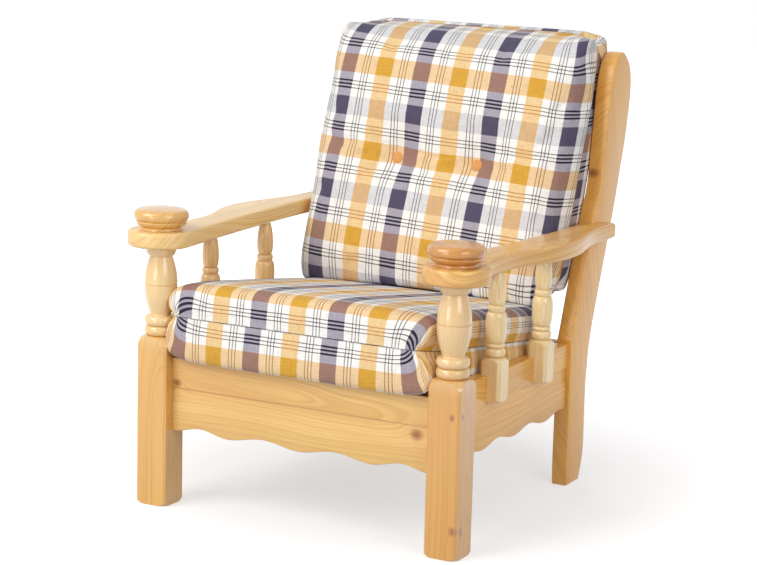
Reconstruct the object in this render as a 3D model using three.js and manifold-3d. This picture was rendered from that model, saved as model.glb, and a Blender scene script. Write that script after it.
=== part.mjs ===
// A fireside chair: a lacquered pine frame with turned front posts and arm spindles, sawn rear posts,
// moulded and scalloped rails, a slatted seat and back, and two loose checked cushions.
// Lengths are in millimetres and angles in degrees. +X is to the right seen from the front,
// +Y is towards the back, +Z is up. The origin is on the floor, in the middle of the chair's plan.

import * as THREE from "three";
import { mergeVertices } from "three/addons/utils/BufferGeometryUtils.js";
import loadManifold from "manifold-3d";

const manifold = await loadManifold();
manifold.setup();

// Driving dimensions
const post_spacing = 644; // between the axes of the two front posts
const front_post_width = 68; // the square part of a front post
const rear_post_set_back = 546; // from the front posts' axes to the rear posts' front faces
const rear_post_height = 886;
const rear_post_sweep = 260; // how far the top reaches behind the front face at the seat
const rear_post_thickness = 34;
const rear_post_spread = 580; // between the rear posts' inner faces
const arm_height = 552; // the arm's top at the front post
const arm_thickness = 32;
const arm_lap = 42; // of the arm's end past the rear post's front face
const arm_drop = 10; // the rear end's fall below the front post's end
const seat_height = 301; // the front rail's top front edge
const seat_angle = 7.5; // the slats' slope down to the back
const back_angle = 18.3; // the back frame's lean from upright
const rail_thickness = 26;
const front_rail_height = 149;
const side_rail_height = 146;
const fit_gap = 0.3; // between two pieces that meet
const tenon_reach = 16; // of a rail's tenon into its post
const tenon_thickness = 9;
const screw_radius = 2.5;
const screw_head_radius = 5;

// Counts of facets
const turned_sides = 24;
const spindle_sides = 14;
const peg_sides = 8;
const curve_steps = 4;
const spindle_steps = 3;

const right = new THREE.Vector3(1, 0, 0);
const left = new THREE.Vector3(-1, 0, 0);
const back = new THREE.Vector3(0, 1, 0);
const front = new THREE.Vector3(0, -1, 0);
const up = new THREE.Vector3(0, 0, 1);

const post_x = post_spacing / 2;
const rear_post_inner_x = rear_post_spread / 2;
const rear_post_x = rear_post_inner_x + rear_post_thickness / 2;
const rear_post_outer_x = rear_post_inner_x + rear_post_thickness;
const seat_slope = THREE.MathUtils.degToRad(seat_angle);
const back_slope = THREE.MathUtils.degToRad(back_angle);
const cutter_overrun = front_post_width / 2; // how far a cutter runs past the face that it opens

// Finishes
const pine = { color: 0xe3b36c, roughness: 0.38, metalness: 0 };
const pale_pine = { color: 0xe9cd8f, roughness: 0.4, metalness: 0 };
const unfinished_pine = { color: 0xdfc394, roughness: 0.7, metalness: 0 };
const zinc_screw = { color: 0xc9c6b8, roughness: 0.35, metalness: 1 };
const checked_cloth = { color: 0xe6d6c4, roughness: 0.95, metalness: 0 };
const peach_cloth = { color: 0xe0a365, roughness: 0.95, metalness: 0 };

// A closed geometry, with its shared corners merged, as a solid
function solidOf(geometry) {
  const bare = geometry.index ? geometry.toNonIndexed() : geometry.clone();
  bare.deleteAttribute("normal");
  bare.deleteAttribute("uv");
  const merged = mergeVertices(bare);
  const corners = merged.index.array;
  const triangles = [];
  for (let i = 0; i < corners.length; i += 3) {
    const [a, b, c] = [corners[i], corners[i + 1], corners[i + 2]];
    if (a !== b && b !== c && c !== a) triangles.push(a, b, c);
  }
  const mesh = new manifold.Mesh({
    numProp: 3,
    vertProperties: Float32Array.from(merged.attributes.position.array),
    triVerts: Uint32Array.from(triangles),
  });
  return new manifold.Manifold(mesh);
}

// A solid as a named mesh
function meshOf(name, solid, finish) {
  const { vertProperties, triVerts } = solid.getMesh();
  const geometry = new THREE.BufferGeometry();
  geometry.setAttribute("position", new THREE.BufferAttribute(Float32Array.from(vertProperties), 3));
  geometry.setIndex(new THREE.BufferAttribute(Uint32Array.from(triVerts), 1));
  geometry.computeVertexNormals();
  const mesh = new THREE.Mesh(geometry, new THREE.MeshStandardMaterial(finish));
  mesh.name = name;
  return mesh;
}

function together(solid, additions) {
  return additions.reduce((whole, addition) => whole.add(solidOf(addition)), solid);
}

function without(solid, cutters) {
  return cutters.reduce((rest, cutter) => rest.subtract(solidOf(cutter)), solid);
}

// An outline drawn in two of the chair's directions and extruded evenly both ways along the third
function extruded(shape, length, x_direction, y_direction, bevel = 0) {
  const geometry = new THREE.ExtrudeGeometry(shape, {
    depth: length - 2 * bevel,
    curveSegments: curve_steps,
    bevelEnabled: bevel > 0,
    bevelThickness: bevel,
    bevelSize: bevel,
    bevelOffset: -bevel,
    bevelSegments: 2,
  });
  geometry.translate(0, 0, bevel - length / 2);
  const z_direction = new THREE.Vector3().crossVectors(x_direction, y_direction);
  return geometry.applyMatrix4(new THREE.Matrix4().makeBasis(x_direction, y_direction, z_direction));
}

// A profile of (radius, height) points turned round an upright axis
function turned(profile, sides, steps = curve_steps) {
  return new THREE.LatheGeometry(profile.getPoints(steps), sides).rotateX(Math.PI / 2);
}

// A round peg along a direction, from its start point
function peg(radius, length, start, direction, sides = peg_sides) {
  const geometry = new THREE.CylinderGeometry(radius, radius, length, sides);
  geometry.translate(0, length / 2, 0);
  geometry.applyQuaternion(new THREE.Quaternion().setFromUnitVectors(back, direction));
  return geometry.translate(start.x, start.y, start.z);
}

// A countersunk screw along a direction: its head's face is at the start point
function screw(length, start, direction, gap = 0) {
  const profile = new THREE.Path();
  profile.moveTo(0, -length - gap);
  profile.lineTo(screw_radius + gap, -length - gap);
  profile.lineTo(screw_radius + gap, screw_radius - screw_head_radius);
  profile.lineTo(screw_head_radius + gap, 0);
  if (gap > 0) profile.lineTo(screw_head_radius + gap, cutter_overrun);
  profile.lineTo(0, gap > 0 ? cutter_overrun : 0);
  const geometry = new THREE.LatheGeometry(profile.getPoints(), peg_sides);
  geometry.applyQuaternion(new THREE.Quaternion().setFromUnitVectors(front, direction));
  return geometry.translate(start.x, start.y, start.z);
}

function box(width, depth, height, x, y, z) {
  return new THREE.BoxGeometry(width, depth, height).translate(x, y, z);
}

// Turns a geometry down towards the back about a line across the chair
function tilted(geometry, angle, y, z) {
  return geometry.translate(0, -y, -z).rotateX(-angle).translate(0, y, z);
}

// Adds a round bead to a turned profile
function bead(profile, low, high, radius) {
  const start = profile.currentPoint.x;
  profile.lineTo(start, low);
  profile.bezierCurveTo(2 * radius - start, low, 2 * radius - start, high, start, high);
}

// Front post: square to the seat, with a turned foot and shoulder, then two beads, a double barrel
// with a groove round its middle, and a cone under the arm. Its tenon runs through the arm.
const post_chamfer = 4;
const foot_height = 15;
const foot_radius = 39;
const square_height = 303;
const shoulder_share = 0.18; // of the turned length above the square, as are the next three
const bead_share = 0.092;
const groove_share = 0.645;
const neck_share = 0.908;
const bead_radius = 29.5;
const bead_fillet_radius = 25;
const waist_radius = 21;
const barrel_radius = 32.7;
const groove_width = 3;
const groove_depth = 2;
const neck_radius = 22;
const cone_radius = 30;
const tenon_radius = 16;
const tenon_length = 56; // above the arm's underside
const arm_underside = arm_height - arm_thickness;

function frontPostProfile() {
  const length = arm_underside - square_height;
  const shoulder_high = square_height + shoulder_share * length;
  const bead_high = shoulder_high + bead_share * length;
  const waist = bead_high + bead_share * length;
  const groove_height = square_height + groove_share * length;
  const neck_height = square_height + neck_share * length;
  const wide = front_post_width; // clear of the square's corners
  const profile = new THREE.Path();
  profile.moveTo(0, 0);
  profile.lineTo(foot_radius, 0);
  profile.quadraticCurveTo(front_post_width * Math.SQRT1_2, foot_height / 2, wide, 2 * foot_height);
  profile.lineTo(wide, square_height - foot_height);
  profile.lineTo(front_post_width * Math.SQRT1_2, square_height);
  profile.quadraticCurveTo(front_post_width * Math.SQRT1_2, shoulder_high, bead_fillet_radius, shoulder_high);
  bead(profile, shoulder_high, bead_high, bead_radius);
  bead(profile, bead_high, waist, bead_radius);
  profile.lineTo(waist_radius, waist);
  profile.lineTo(waist_radius, waist + groove_width);
  profile.quadraticCurveTo(barrel_radius, (waist + groove_height) / 2, barrel_radius, groove_height);
  profile.lineTo(barrel_radius - groove_depth, groove_height);
  profile.lineTo(barrel_radius - groove_depth, groove_height + groove_width);
  profile.lineTo(barrel_radius, groove_height + groove_width);
  profile.quadraticCurveTo(barrel_radius, (groove_height + neck_height) / 2, neck_radius, neck_height);
  profile.quadraticCurveTo(cone_radius, neck_height, cone_radius, arm_underside);
  profile.lineTo(cone_radius, arm_height);
  profile.lineTo(0, arm_height);
  return profile;
}

// A square outline with chamfered corners
function chamferedSquare(width, chamfer) {
  const half = width / 2;
  const edge = half - chamfer;
  const corners = [[half, -edge], [half, edge], [edge, half], [-edge, half]];
  const others = corners.map(([x, y]) => [-x, -y]);
  return new THREE.Shape([...corners, ...others].map(([x, y]) => new THREE.Vector2(x, y)));
}

function frontPost(side) {
  const square = extruded(chamferedSquare(front_post_width, post_chamfer), 2 * arm_height, right, back);
  const turning = solidOf(turned(frontPostProfile(), turned_sides)).intersect(solidOf(square));
  const shaped = without(turning.translate([side * post_x, 0, 0]), [
    armSpace(side),
    frontRailTenon(side, fit_gap),
    sideRailFrontTenon(side, fit_gap),
  ]);
  const start = new THREE.Vector3(side * post_x, 0, arm_underside - cutter_overrun);
  const tenon = peg(tenon_radius, cutter_overrun + tenon_length, start, up, turned_sides);
  return together(shaped, [tenon]);
}

// Cap over the arm: a ring, a flare out to a step, and a thick round dome. It is bored for the tenon.
const cap_radius = 54;
const cap_height = 44;
const cap_ring_radius = 41;
const cap_ring_height = 5;
const cap_rim_height = 17.5;
const cap_rim_radius = 51;
const cap_rim_step = 1.5;
const cap_crown = 3; // rise of the dome's middle
const cap_edge_rounding = 14;

function postCap(side) {
  const profile = new THREE.Path();
  const dome_low = cap_height - cap_crown;
  profile.moveTo(0, 0);
  profile.lineTo(cap_ring_radius, 0);
  profile.lineTo(cap_ring_radius, cap_ring_height);
  profile.lineTo(cap_ring_radius - cap_rim_step, cap_ring_height + cap_rim_step);
  profile.quadraticCurveTo(cap_rim_radius - cap_rim_step, cap_rim_height / 2, cap_rim_radius, cap_rim_height);
  profile.lineTo(cap_rim_radius - cap_rim_step, cap_rim_height + cap_rim_step);
  profile.bezierCurveTo(
    cap_radius + cap_crown, cap_rim_height + cap_rim_step + cap_crown,
    cap_radius + cap_crown, dome_low, cap_radius - cap_edge_rounding, dome_low);
  profile.quadraticCurveTo(cap_radius / 2, cap_height, 0, cap_height);
  const cap = turned(profile, turned_sides).translate(side * post_x, 0, arm_height + fit_gap);
  const start = new THREE.Vector3(side * post_x, 0, arm_underside);
  const bore = peg(tenon_radius + fit_gap, tenon_length + fit_gap, start, up, turned_sides);
  return without(solidOf(tilted(cap, arm_slope, 0, arm_height)), [bore]);
}

// Rear post: sawn to a curve from a board, upright to the seat and then raked, with its edges eased.
// Its outline is drawn in shares of its sweep and height.
const rear_post_easing = 4;
const rear_post_front_shares = [
  [0.01, 0], [-0.002, 0.06], [0, 0.2], [0, 0.335], [0.045, 0.38],
  [0.355, 0.625], [0.44, 0.675], [0.49, 0.73], [0.545, 0.86], [0.585, 0.93], [0.66, 0.98],
];
const rear_post_back_shares = [
  [0.8, 1], [0.93, 0.975], [0.985, 0.94], [0.99, 0.89], [0.93, 0.8], [0.845, 0.72], [0.72, 0.61],
  [0.4, 0.365], [0.335, 0.27], [0.318, 0.2], [0.325, 0.09], [0.305, 0.045], [0.25, 0],
];

function rearPostOutline(shift = 0) {
  const placed = ([y, z]) => new THREE.Vector2(
    rear_post_set_back + y * rear_post_sweep + shift, z * rear_post_height);
  const front_edge = rear_post_front_shares.map(placed);
  const back_edge = rear_post_back_shares.map(placed);
  const outline = new THREE.Shape();
  outline.moveTo(front_edge[0].x, front_edge[0].y);
  outline.splineThru([...front_edge.slice(1), ...back_edge]);
  return outline;
}

// The rear post's front face at a height
function rearPostFront(z) {
  const points = rearPostOutline().getPoints(curve_steps);
  const crossings = points.slice(1).flatMap((end, i) => {
    const start = points[i];
    if ((start.y - z) * (end.y - z) > 0) return [];
    return [start.x + (end.x - start.x) * (z - start.y) / (end.y - start.y)];
  });
  return Math.min(...crossings);
}

const arm_length = rearPostFront(arm_underside) + arm_lap;
const arm_slope = Math.atan2(arm_drop, arm_length);

// The rear post's body with a clearance in front, as a cutter that reaches a given distance outwards
function rearPostSpace(side, outer_x) {
  const width = outer_x - rear_post_inner_x + cutter_overrun;
  const space = extruded(rearPostOutline(-fit_gap), width, back, up);
  return space.translate(side * (outer_x - width / 2), 0, 0);
}

function rearPost(side) {
  const board = extruded(rearPostOutline(), rear_post_thickness, back, up, rear_post_easing);
  board.translate(side * rear_post_x, 0, 0);
  return without(solidOf(board), [
    sideRailRearTenon(side, fit_gap),
    rearRailTenon(side, fit_gap),
    ...backRailTenons(side, fit_gap),
    armScrew(side, fit_gap),
  ]);
}

// Rails: a flat upper band, a groove with a sharp upper ledge, and a lower band with scallops
const rail_easing = 3;
const moulding_height = 38;
const moulding_depth = 9;
const moulding_fall = 3; // the groove's floor is deeper by this at its lower end
const moulding_rounding = 6;
const scallop_rise = 11;
const scallop_steps = 8; // to a scallop

// The rail's section: x is the depth from its show face, y the height above its lower edge
function railSection(height, ledge_drop, top_fall) {
  const ledge = height - ledge_drop;
  const low = ledge - moulding_height;
  const depth = moulding_depth + moulding_fall;
  const section = new THREE.Shape();
  section.moveTo(rail_easing, 0);
  section.lineTo(0, rail_easing);
  section.lineTo(0, low - moulding_rounding);
  section.quadraticCurveTo(0, low, moulding_rounding, low);
  section.lineTo(depth - moulding_rounding, low);
  section.quadraticCurveTo(depth, low, depth, low + moulding_rounding);
  section.lineTo(moulding_depth, ledge);
  section.lineTo(0, ledge);
  section.lineTo(0, height - rail_easing);
  section.lineTo(rail_easing, height - top_fall * rail_easing / rail_thickness);
  section.lineTo(rail_thickness, height - top_fall);
  section.lineTo(rail_thickness, 0);
  return section;
}

// The rail's face outline: lobes meet its lower edge at each station along it
function scallopedOutline(start, end, height, lobes) {
  const outline = new THREE.Shape();
  outline.moveTo(start, height + cutter_overrun);
  outline.lineTo(start, 0);
  for (let i = 1; i < lobes.length; i += 1) {
    const bay = lobes[i] - lobes[i - 1];
    for (let step = 0; step < scallop_steps; step += 1) {
      const share = step / scallop_steps;
      const along = lobes[i - 1] + share * bay;
      const rise = scallop_rise * Math.sin(Math.PI * share) ** 2;
      if (along > start && along < end) outline.lineTo(along, rise);
    }
  }
  outline.lineTo(end, 0);
  outline.lineTo(end, height + cutter_overrun);
  return outline;
}

// Front rail, set back from the posts' faces, with its top planed to the seat's slope
const front_rail_set_back = 25;
const front_ledge_drop = 59;
const front_lobe_pitch = 160;
const front_rail_face_y = front_rail_set_back - front_post_width / 2;
const front_rail_low = seat_height - front_rail_height;
const front_tenon_height = 90;
const front_tenon_low = 40; // above the rail's lower edge

function frontRail() {
  const end = post_x - front_post_width / 2 - fit_gap;
  const top_fall = rail_thickness * Math.tan(seat_slope);
  const section = railSection(front_rail_height, front_ledge_drop, top_fall);
  const moulded = extruded(section, 2 * end, back, up);
  moulded.translate(0, front_rail_face_y, front_rail_low);
  const lobes = [-end, -front_lobe_pitch, 0, front_lobe_pitch, end];
  const outline = scallopedOutline(-end, end, front_rail_height, lobes);
  const board = extruded(outline, 2 * rail_thickness, right, up);
  board.translate(0, front_rail_face_y + rail_thickness / 2, front_rail_low);
  const rail = solidOf(moulded).intersect(solidOf(board));
  return together(rail, [frontRailTenon(1), frontRailTenon(-1)]);
}

function frontRailTenon(side, gap = 0) {
  const x = side * (post_x - front_post_width / 2);
  const y = front_rail_face_y + moulding_depth + moulding_fall + fit_gap + tenon_thickness / 2;
  const z = front_rail_low + front_tenon_low + front_tenon_height / 2;
  return box(2 * (tenon_reach + gap), tenon_thickness + 2 * gap, front_tenon_height + 2 * gap, x, y, z);
}

// Side rail: it falls a little towards the back. The spindles' blocks hang over its show face.
const side_rail_top = 315; // at the front post
const side_rail_drop = 13; // along its length
const side_rail_outer_inset = 6; // of its show face inside the front post's axis
const side_ledge_drop = 51;
const side_lobe_pitch = 145;
const side_lobe_shift = 10; // of the middle lobe behind the rail's middle
const side_tenon_height = 80;
const side_tenon_low = 35; // above the rail's lower edge
const side_rail_outer_x = post_x - side_rail_outer_inset;
const side_rail_inner_x = side_rail_outer_x - rail_thickness;
const side_rail_x = side_rail_outer_x - rail_thickness / 2;
const side_rail_start = front_post_width / 2 + fit_gap;
const side_rail_length = rear_post_set_back - side_rail_start;
const side_rail_slope = Math.atan2(side_rail_drop, side_rail_length);

// The side rail's top at a distance behind the front posts' axes
function sideRailTop(y) {
  return side_rail_top - (y - side_rail_start) * Math.tan(side_rail_slope);
}

function sideRail(side) {
  const low = side_rail_top - side_rail_height;
  const middle = (side_rail_start + rear_post_set_back) / 2;
  const span = side_rail_length + 2 * cutter_overrun;
  const section = railSection(side_rail_height, side_ledge_drop, 0);
  const inwards = side > 0 ? left : right;
  const moulded = extruded(section, span, inwards, up);
  moulded.translate(side * side_rail_outer_x, middle, low);
  const first_lobe = middle + side_lobe_shift - 2 * side_lobe_pitch;
  const lobes = [0, 1, 2, 3, 4].map((count) => first_lobe + count * side_lobe_pitch);
  const outline = scallopedOutline(middle - span / 2, middle + span / 2, side_rail_height, lobes);
  const board = extruded(outline, 2 * rail_thickness, back, up);
  board.translate(side * side_rail_x, 0, low);
  const pieces = [moulded, board].map((piece) => (
    solidOf(tilted(piece, side_rail_slope, side_rail_start, side_rail_top))));
  const front_end = box(front_post_width, 2 * cutter_overrun, 2 * side_rail_top,
    side * side_rail_x, side_rail_start - cutter_overrun, side_rail_top);
  const rear_end = rearPostSpace(side, rear_post_outer_x);
  const trimmed = without(pieces[0].intersect(pieces[1]), [front_end, rear_end]);
  const rail = together(trimmed, [sideRailFrontTenon(side), sideRailRearTenon(side)]);
  return without(rail, [
    ...spindle_positions.map((y) => spindleScrew(side, y, fit_gap)),
    ...battenScrews(side, fit_gap),
  ]);
}

function sideRailTenon(side, joint_y, gap) {
  const x = side * (side_rail_outer_x - moulding_depth - moulding_fall - fit_gap - tenon_thickness / 2);
  const z = sideRailTop(joint_y) - side_rail_height + side_tenon_low + side_tenon_height / 2;
  return box(tenon_thickness + 2 * gap, 2 * (tenon_reach + gap), side_tenon_height + 2 * gap, x, joint_y, z);
}

function sideRailFrontTenon(side, gap = 0) {
  return sideRailTenon(side, front_post_width / 2, gap);
}

function sideRailRearTenon(side, gap = 0) {
  return sideRailTenon(side, rear_post_set_back, gap);
}

// Rear seat rail, plain, between the rear posts
const rear_rail_height = 110;
const rear_rail_thickness = 24;
const rear_rail_low = 190;
const rear_rail_set_back = 14; // behind the rear posts' front faces
const rear_tenon_height = 70;
const rear_rail_y = rear_post_set_back + rear_rail_set_back + rear_rail_thickness / 2;

function rearSeatRail() {
  const outline = chamferedRectangle(rear_rail_thickness, rear_rail_height, rail_easing);
  const rail = extruded(outline, rear_post_spread - 2 * fit_gap, back, up);
  rail.translate(0, rear_rail_y, rear_rail_low + rear_rail_height / 2);
  return together(solidOf(rail), [rearRailTenon(1), rearRailTenon(-1)]);
}

function rearRailTenon(side, gap = 0) {
  const z = rear_rail_low + rear_rail_height / 2;
  return box(2 * (tenon_reach + gap), tenon_thickness + 2 * gap, rear_tenon_height + 2 * gap,
    side * rear_post_inner_x, rear_rail_y, z);
}

function chamferedRectangle(width, height, chamfer) {
  const [x, y] = [width / 2, height / 2];
  const corners = [[x, chamfer - y], [x, y - chamfer], [x - chamfer, y], [chamfer - x, y]];
  const others = corners.map(([a, b]) => [-a, -b]);
  return new THREE.Shape([...corners, ...others].map(([a, b]) => new THREE.Vector2(a, b)));
}

// Back frame: two rails between the rear posts, leaning back, with upright slats let into them.
// Places in it are given along its lean, from where its front plane meets the floor.
const back_plane_y = 489; // where the frame's front plane meets the floor
const back_rail_width = 56;
const back_rail_thickness = 24;
const upper_back_rail_drop = 68; // of its middle below the rear posts' tops
const lower_back_rail_share = 0.588; // of the upper one's height
const upper_back_rail_height = (rear_post_height - upper_back_rail_drop) / Math.cos(back_slope);
const lower_back_rail_height = lower_back_rail_share * upper_back_rail_height;
const back_tenon_width = 40;
const back_slat_count = 5;
const back_slat_pitch = 112;
const back_slat_width = 52;
const back_slat_thickness = 14;
const back_slat_tenon = 14;

// Places a geometry that is made upright, with its front at y = 0, in the back frame
function leaning(geometry) {
  return geometry.rotateX(-back_slope).translate(0, back_plane_y, 0);
}

function backSlat(x, gap = 0) {
  const span = upper_back_rail_height - lower_back_rail_height - back_rail_width;
  const length = span + 2 * back_slat_tenon + 2 * gap;
  const outline = chamferedRectangle(back_slat_width + 2 * gap, back_slat_thickness + 2 * gap, rail_easing);
  const slat = extruded(outline, length, right, back);
  slat.translate(x, back_rail_thickness / 2, (upper_back_rail_height + lower_back_rail_height) / 2);
  return leaning(slat);
}

function backSlatPositions() {
  const middle = (back_slat_count - 1) / 2;
  return Array.from({ length: back_slat_count }, (_, i) => (i - middle) * back_slat_pitch);
}

function backRail(height) {
  const outline = chamferedRectangle(back_rail_thickness, back_rail_width, rail_easing);
  const rail = extruded(outline, rear_post_spread - 2 * fit_gap, back, up);
  rail.translate(0, back_rail_thickness / 2, height);
  const tenoned = together(solidOf(leaning(rail)), [backRailTenon(1, height), backRailTenon(-1, height)]);
  return without(tenoned, backSlatPositions().map((x) => backSlat(x, fit_gap)));
}

function backRailTenon(side, height, gap = 0) {
  return leaning(box(2 * (tenon_reach + gap), tenon_thickness + 2 * gap, back_tenon_width + 2 * gap,
    side * rear_post_inner_x, back_rail_thickness / 2, height));
}

function backRailTenons(side, gap = 0) {
  return [lower_back_rail_height, upper_back_rail_height].map((height) => backRailTenon(side, height, gap));
}

// Seat frame: a batten inside each side rail, and slats across them in housings. Both are set out
// along the seat's slope, from the front rail's top front edge.
const batten_width = 22;
const batten_height = 30;
const batten_front_gap = 29; // behind the front rail
const batten_rear_gap = 39; // in front of the rear seat rail
const batten_start = rail_thickness + batten_front_gap;
const seat_depth = (rear_rail_y - rear_rail_thickness / 2 - front_rail_face_y) / Math.cos(seat_slope);
const batten_length = seat_depth - batten_start - batten_rear_gap;
const seat_slat_count = 6;
const seat_slat_width = 60;
const seat_slat_thickness = 16;
const seat_slat_inset = 35; // of the end slats' middles from the battens' ends
const seat_slat_first = batten_start + seat_slat_inset;
const seat_slat_pitch = (batten_length - 2 * seat_slat_inset) / (seat_slat_count - 1);
const seat_slat_end_gap = 2;
const seat_slat_housing = 6; // depth of its housings in the battens
const batten_screw_shares = [0.045, 0.955];

// Places a geometry that is made level, with its top at z = 0, on the seat's slope
function onSeat(geometry) {
  return geometry.rotateX(-seat_slope).translate(0, front_rail_face_y, seat_height);
}

function batten(side) {
  const x = side * (side_rail_inner_x - fit_gap - batten_width / 2);
  const z = seat_slat_housing - seat_slat_thickness - batten_height / 2;
  const bar = box(batten_width, batten_length, batten_height, x, batten_start + batten_length / 2, z);
  const housings = seatSlatPositions().map((y) => seatSlat(y, fit_gap));
  return without(solidOf(onSeat(bar)), [...battenScrews(side, fit_gap), ...housings]);
}

function battenScrews(side, gap = 0) {
  const x = side * (side_rail_inner_x - fit_gap - batten_width);
  const z = seat_slat_housing - seat_slat_thickness - batten_height / 2;
  const direction = side > 0 ? right : left;
  const length = batten_width + rail_thickness / 3;
  return batten_screw_shares.map((share) => {
    const start = new THREE.Vector3(x, batten_start + share * batten_length, z);
    return onSeat(screw(length, start, direction, gap));
  });
}

function seatSlatPositions() {
  return Array.from({ length: seat_slat_count }, (_, i) => seat_slat_first + i * seat_slat_pitch);
}

function seatSlat(y, gap = 0) {
  const length = 2 * (side_rail_inner_x - seat_slat_end_gap + gap);
  const outline = chamferedRectangle(seat_slat_width + 2 * gap, seat_slat_thickness + 2 * gap, rail_easing);
  return onSeat(extruded(outline, length, back, up).translate(0, y, -seat_slat_thickness / 2));
}

// Arm: a round paddle over the front post, a waist, a swell, and a straight end lapped round the
// rear post. Places along it are shares of its length.
const paddle_radius = 64;
const paddle_offset = 2; // of its centre outside the post's axis
const arm_edge_rounding = 7;
const arm_inner_inset = 19; // of its inner edge inside the post's axis
const arm_waist_offset = 28; // of its outer edge outside the post's axis
const arm_swell_offset = 69;
const arm_end_offset = 37;
const arm_inner_joint_angle = 83; // where the inner edge leaves the paddle, from straight back
const arm_outer_joint_angle = 50;
const arm_inner_straight_share = 0.885;
const arm_inner_curve_share = 0.25;
const arm_waist_share = 0.25;
const arm_swell_share = 0.56;
const arm_end_share = 0.9;
const arm_curve_share = 0.14; // reach of the curves' handles

function armOutline(side) {
  const inner_x = post_x - arm_inner_inset;
  const outer_x = post_x + arm_end_offset;
  const waist = new THREE.Vector2(post_x + arm_waist_offset, arm_waist_share * arm_length);
  const swell = new THREE.Vector2(post_x + arm_swell_offset, arm_swell_share * arm_length);
  const end = new THREE.Vector2(outer_x, arm_end_share * arm_length);
  const reach = arm_curve_share * arm_length;
  const centre_x = post_x + paddle_offset;
  const inner_turn = Math.PI / 2 + THREE.MathUtils.degToRad(arm_inner_joint_angle);
  const outer_turn = Math.PI / 2 - THREE.MathUtils.degToRad(arm_outer_joint_angle);
  const inner_reach = arm_inner_curve_share * arm_length;
  const inner_end = new THREE.Vector2(inner_x, arm_inner_straight_share * arm_length);
  const inner_joint = new THREE.Vector2(Math.cos(inner_turn), Math.sin(inner_turn));
  inner_joint.multiplyScalar(paddle_radius).x += centre_x;
  const inner_along = new THREE.Vector2(Math.sin(inner_turn), -Math.cos(inner_turn));
  const inner_handle = inner_along.multiplyScalar(inner_reach).add(inner_joint);
  const outline = new THREE.Shape();
  outline.moveTo(outer_x, arm_length);
  outline.lineTo(inner_x, arm_length);
  outline.lineTo(inner_x, inner_end.y);
  outline.bezierCurveTo(
    inner_x, inner_end.y - inner_reach, inner_handle.x, inner_handle.y, inner_joint.x, inner_joint.y);
  outline.absarc(centre_x, 0, paddle_radius, inner_turn, outer_turn + 2 * Math.PI, false);
  const leave = outline.currentPoint.clone();
  const along = new THREE.Vector2(-Math.sin(outer_turn), Math.cos(outer_turn)).multiplyScalar(reach / 2);
  outline.bezierCurveTo(leave.x + along.x, leave.y + along.y, waist.x, waist.y - reach / 2, waist.x, waist.y);
  outline.bezierCurveTo(waist.x, waist.y + reach, swell.x, swell.y - reach, swell.x, swell.y);
  outline.bezierCurveTo(swell.x, swell.y + reach, end.x, end.y - reach, end.x, end.y);
  const points = outline.getPoints(2 * curve_steps);
  return new THREE.Shape(points.map((point) => new THREE.Vector2(side * point.x, point.y)));
}

function arm(side) {
  const plank = extruded(armOutline(side), arm_thickness, right, back, arm_edge_rounding);
  plank.translate(0, 0, arm_height - arm_thickness / 2);
  const low = arm_underside - cutter_overrun;
  const bore_start = new THREE.Vector3(side * post_x, 0, low);
  const bore = peg(tenon_radius + fit_gap, arm_thickness + 2 * cutter_overrun, bore_start, up, turned_sides);
  return without(solidOf(tilted(plank, arm_slope, 0, arm_height)), [
    bore,
    rearPostSpace(side, rear_post_outer_x + fit_gap),
    ...spindle_positions.map((y) => spindleTenon(side, y, fit_gap)),
    armScrew(side, fit_gap),
  ]);
}

// The space above the arm's underside, with a clearance
function armSpace(side) {
  const space = box(2 * paddle_radius, 2 * arm_length, 2 * arm_thickness,
    side * post_x, 0, arm_underside - fit_gap + arm_thickness);
  return tilted(space, arm_slope, 0, arm_height);
}

// The arm's underside at a distance behind the front posts' axes
function armUnderside(y) {
  return arm_height - arm_thickness / Math.cos(arm_slope) - y * Math.tan(arm_slope);
}

// One screw a side holds the arm's end, driven from the rear post's inner face
const arm_screw_length = 60;

function armScrew(side, gap = 0) {
  const y = arm_length - arm_lap / 2;
  const start = new THREE.Vector3(side * rear_post_inner_x, y, armUnderside(y) + arm_thickness / 2);
  return screw(arm_screw_length, start, side > 0 ? right : left, gap);
}

// Arm spindle: a square block notched over the side rail, with a turned shoulder, a collar, a bead,
// a large bulb, a ring and a small bulb that tapers into the arm.
const spindle_positions = [181, 395]; // behind the front posts' axes
const block_width = 44;
const block_chamfer = 6;
const block_hang = 50; // below the rail's top
const block_foot_rounding = 5;
const block_height = 72; // from its foot to its turned shoulder
const collar_radius = 18;
const small_bead_radius = 17;
const spindle_fillet_radius = 14;
const large_bulb_radius = 21;
const ring_radius = 16;
const small_bulb_radius = 17;
const small_bulb_foot_radius = 12.5;
const spindle_height_shares = {
  shoulder: 0.077,
  collar: 0.175,
  small_bead: 0.224,
  large_bulb_middle: 0.42,
  large_bulb: 0.557,
  ring: 0.628,
  small_bulb_middle: 0.8,
  top: 1.06,
};
const spindle_top_radius = 9.5;
const spindle_tenon_radius = 8;
const spindle_tenon_length = 18;

function spindleFoot(y) {
  return sideRailTop(y) - block_hang;
}

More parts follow.
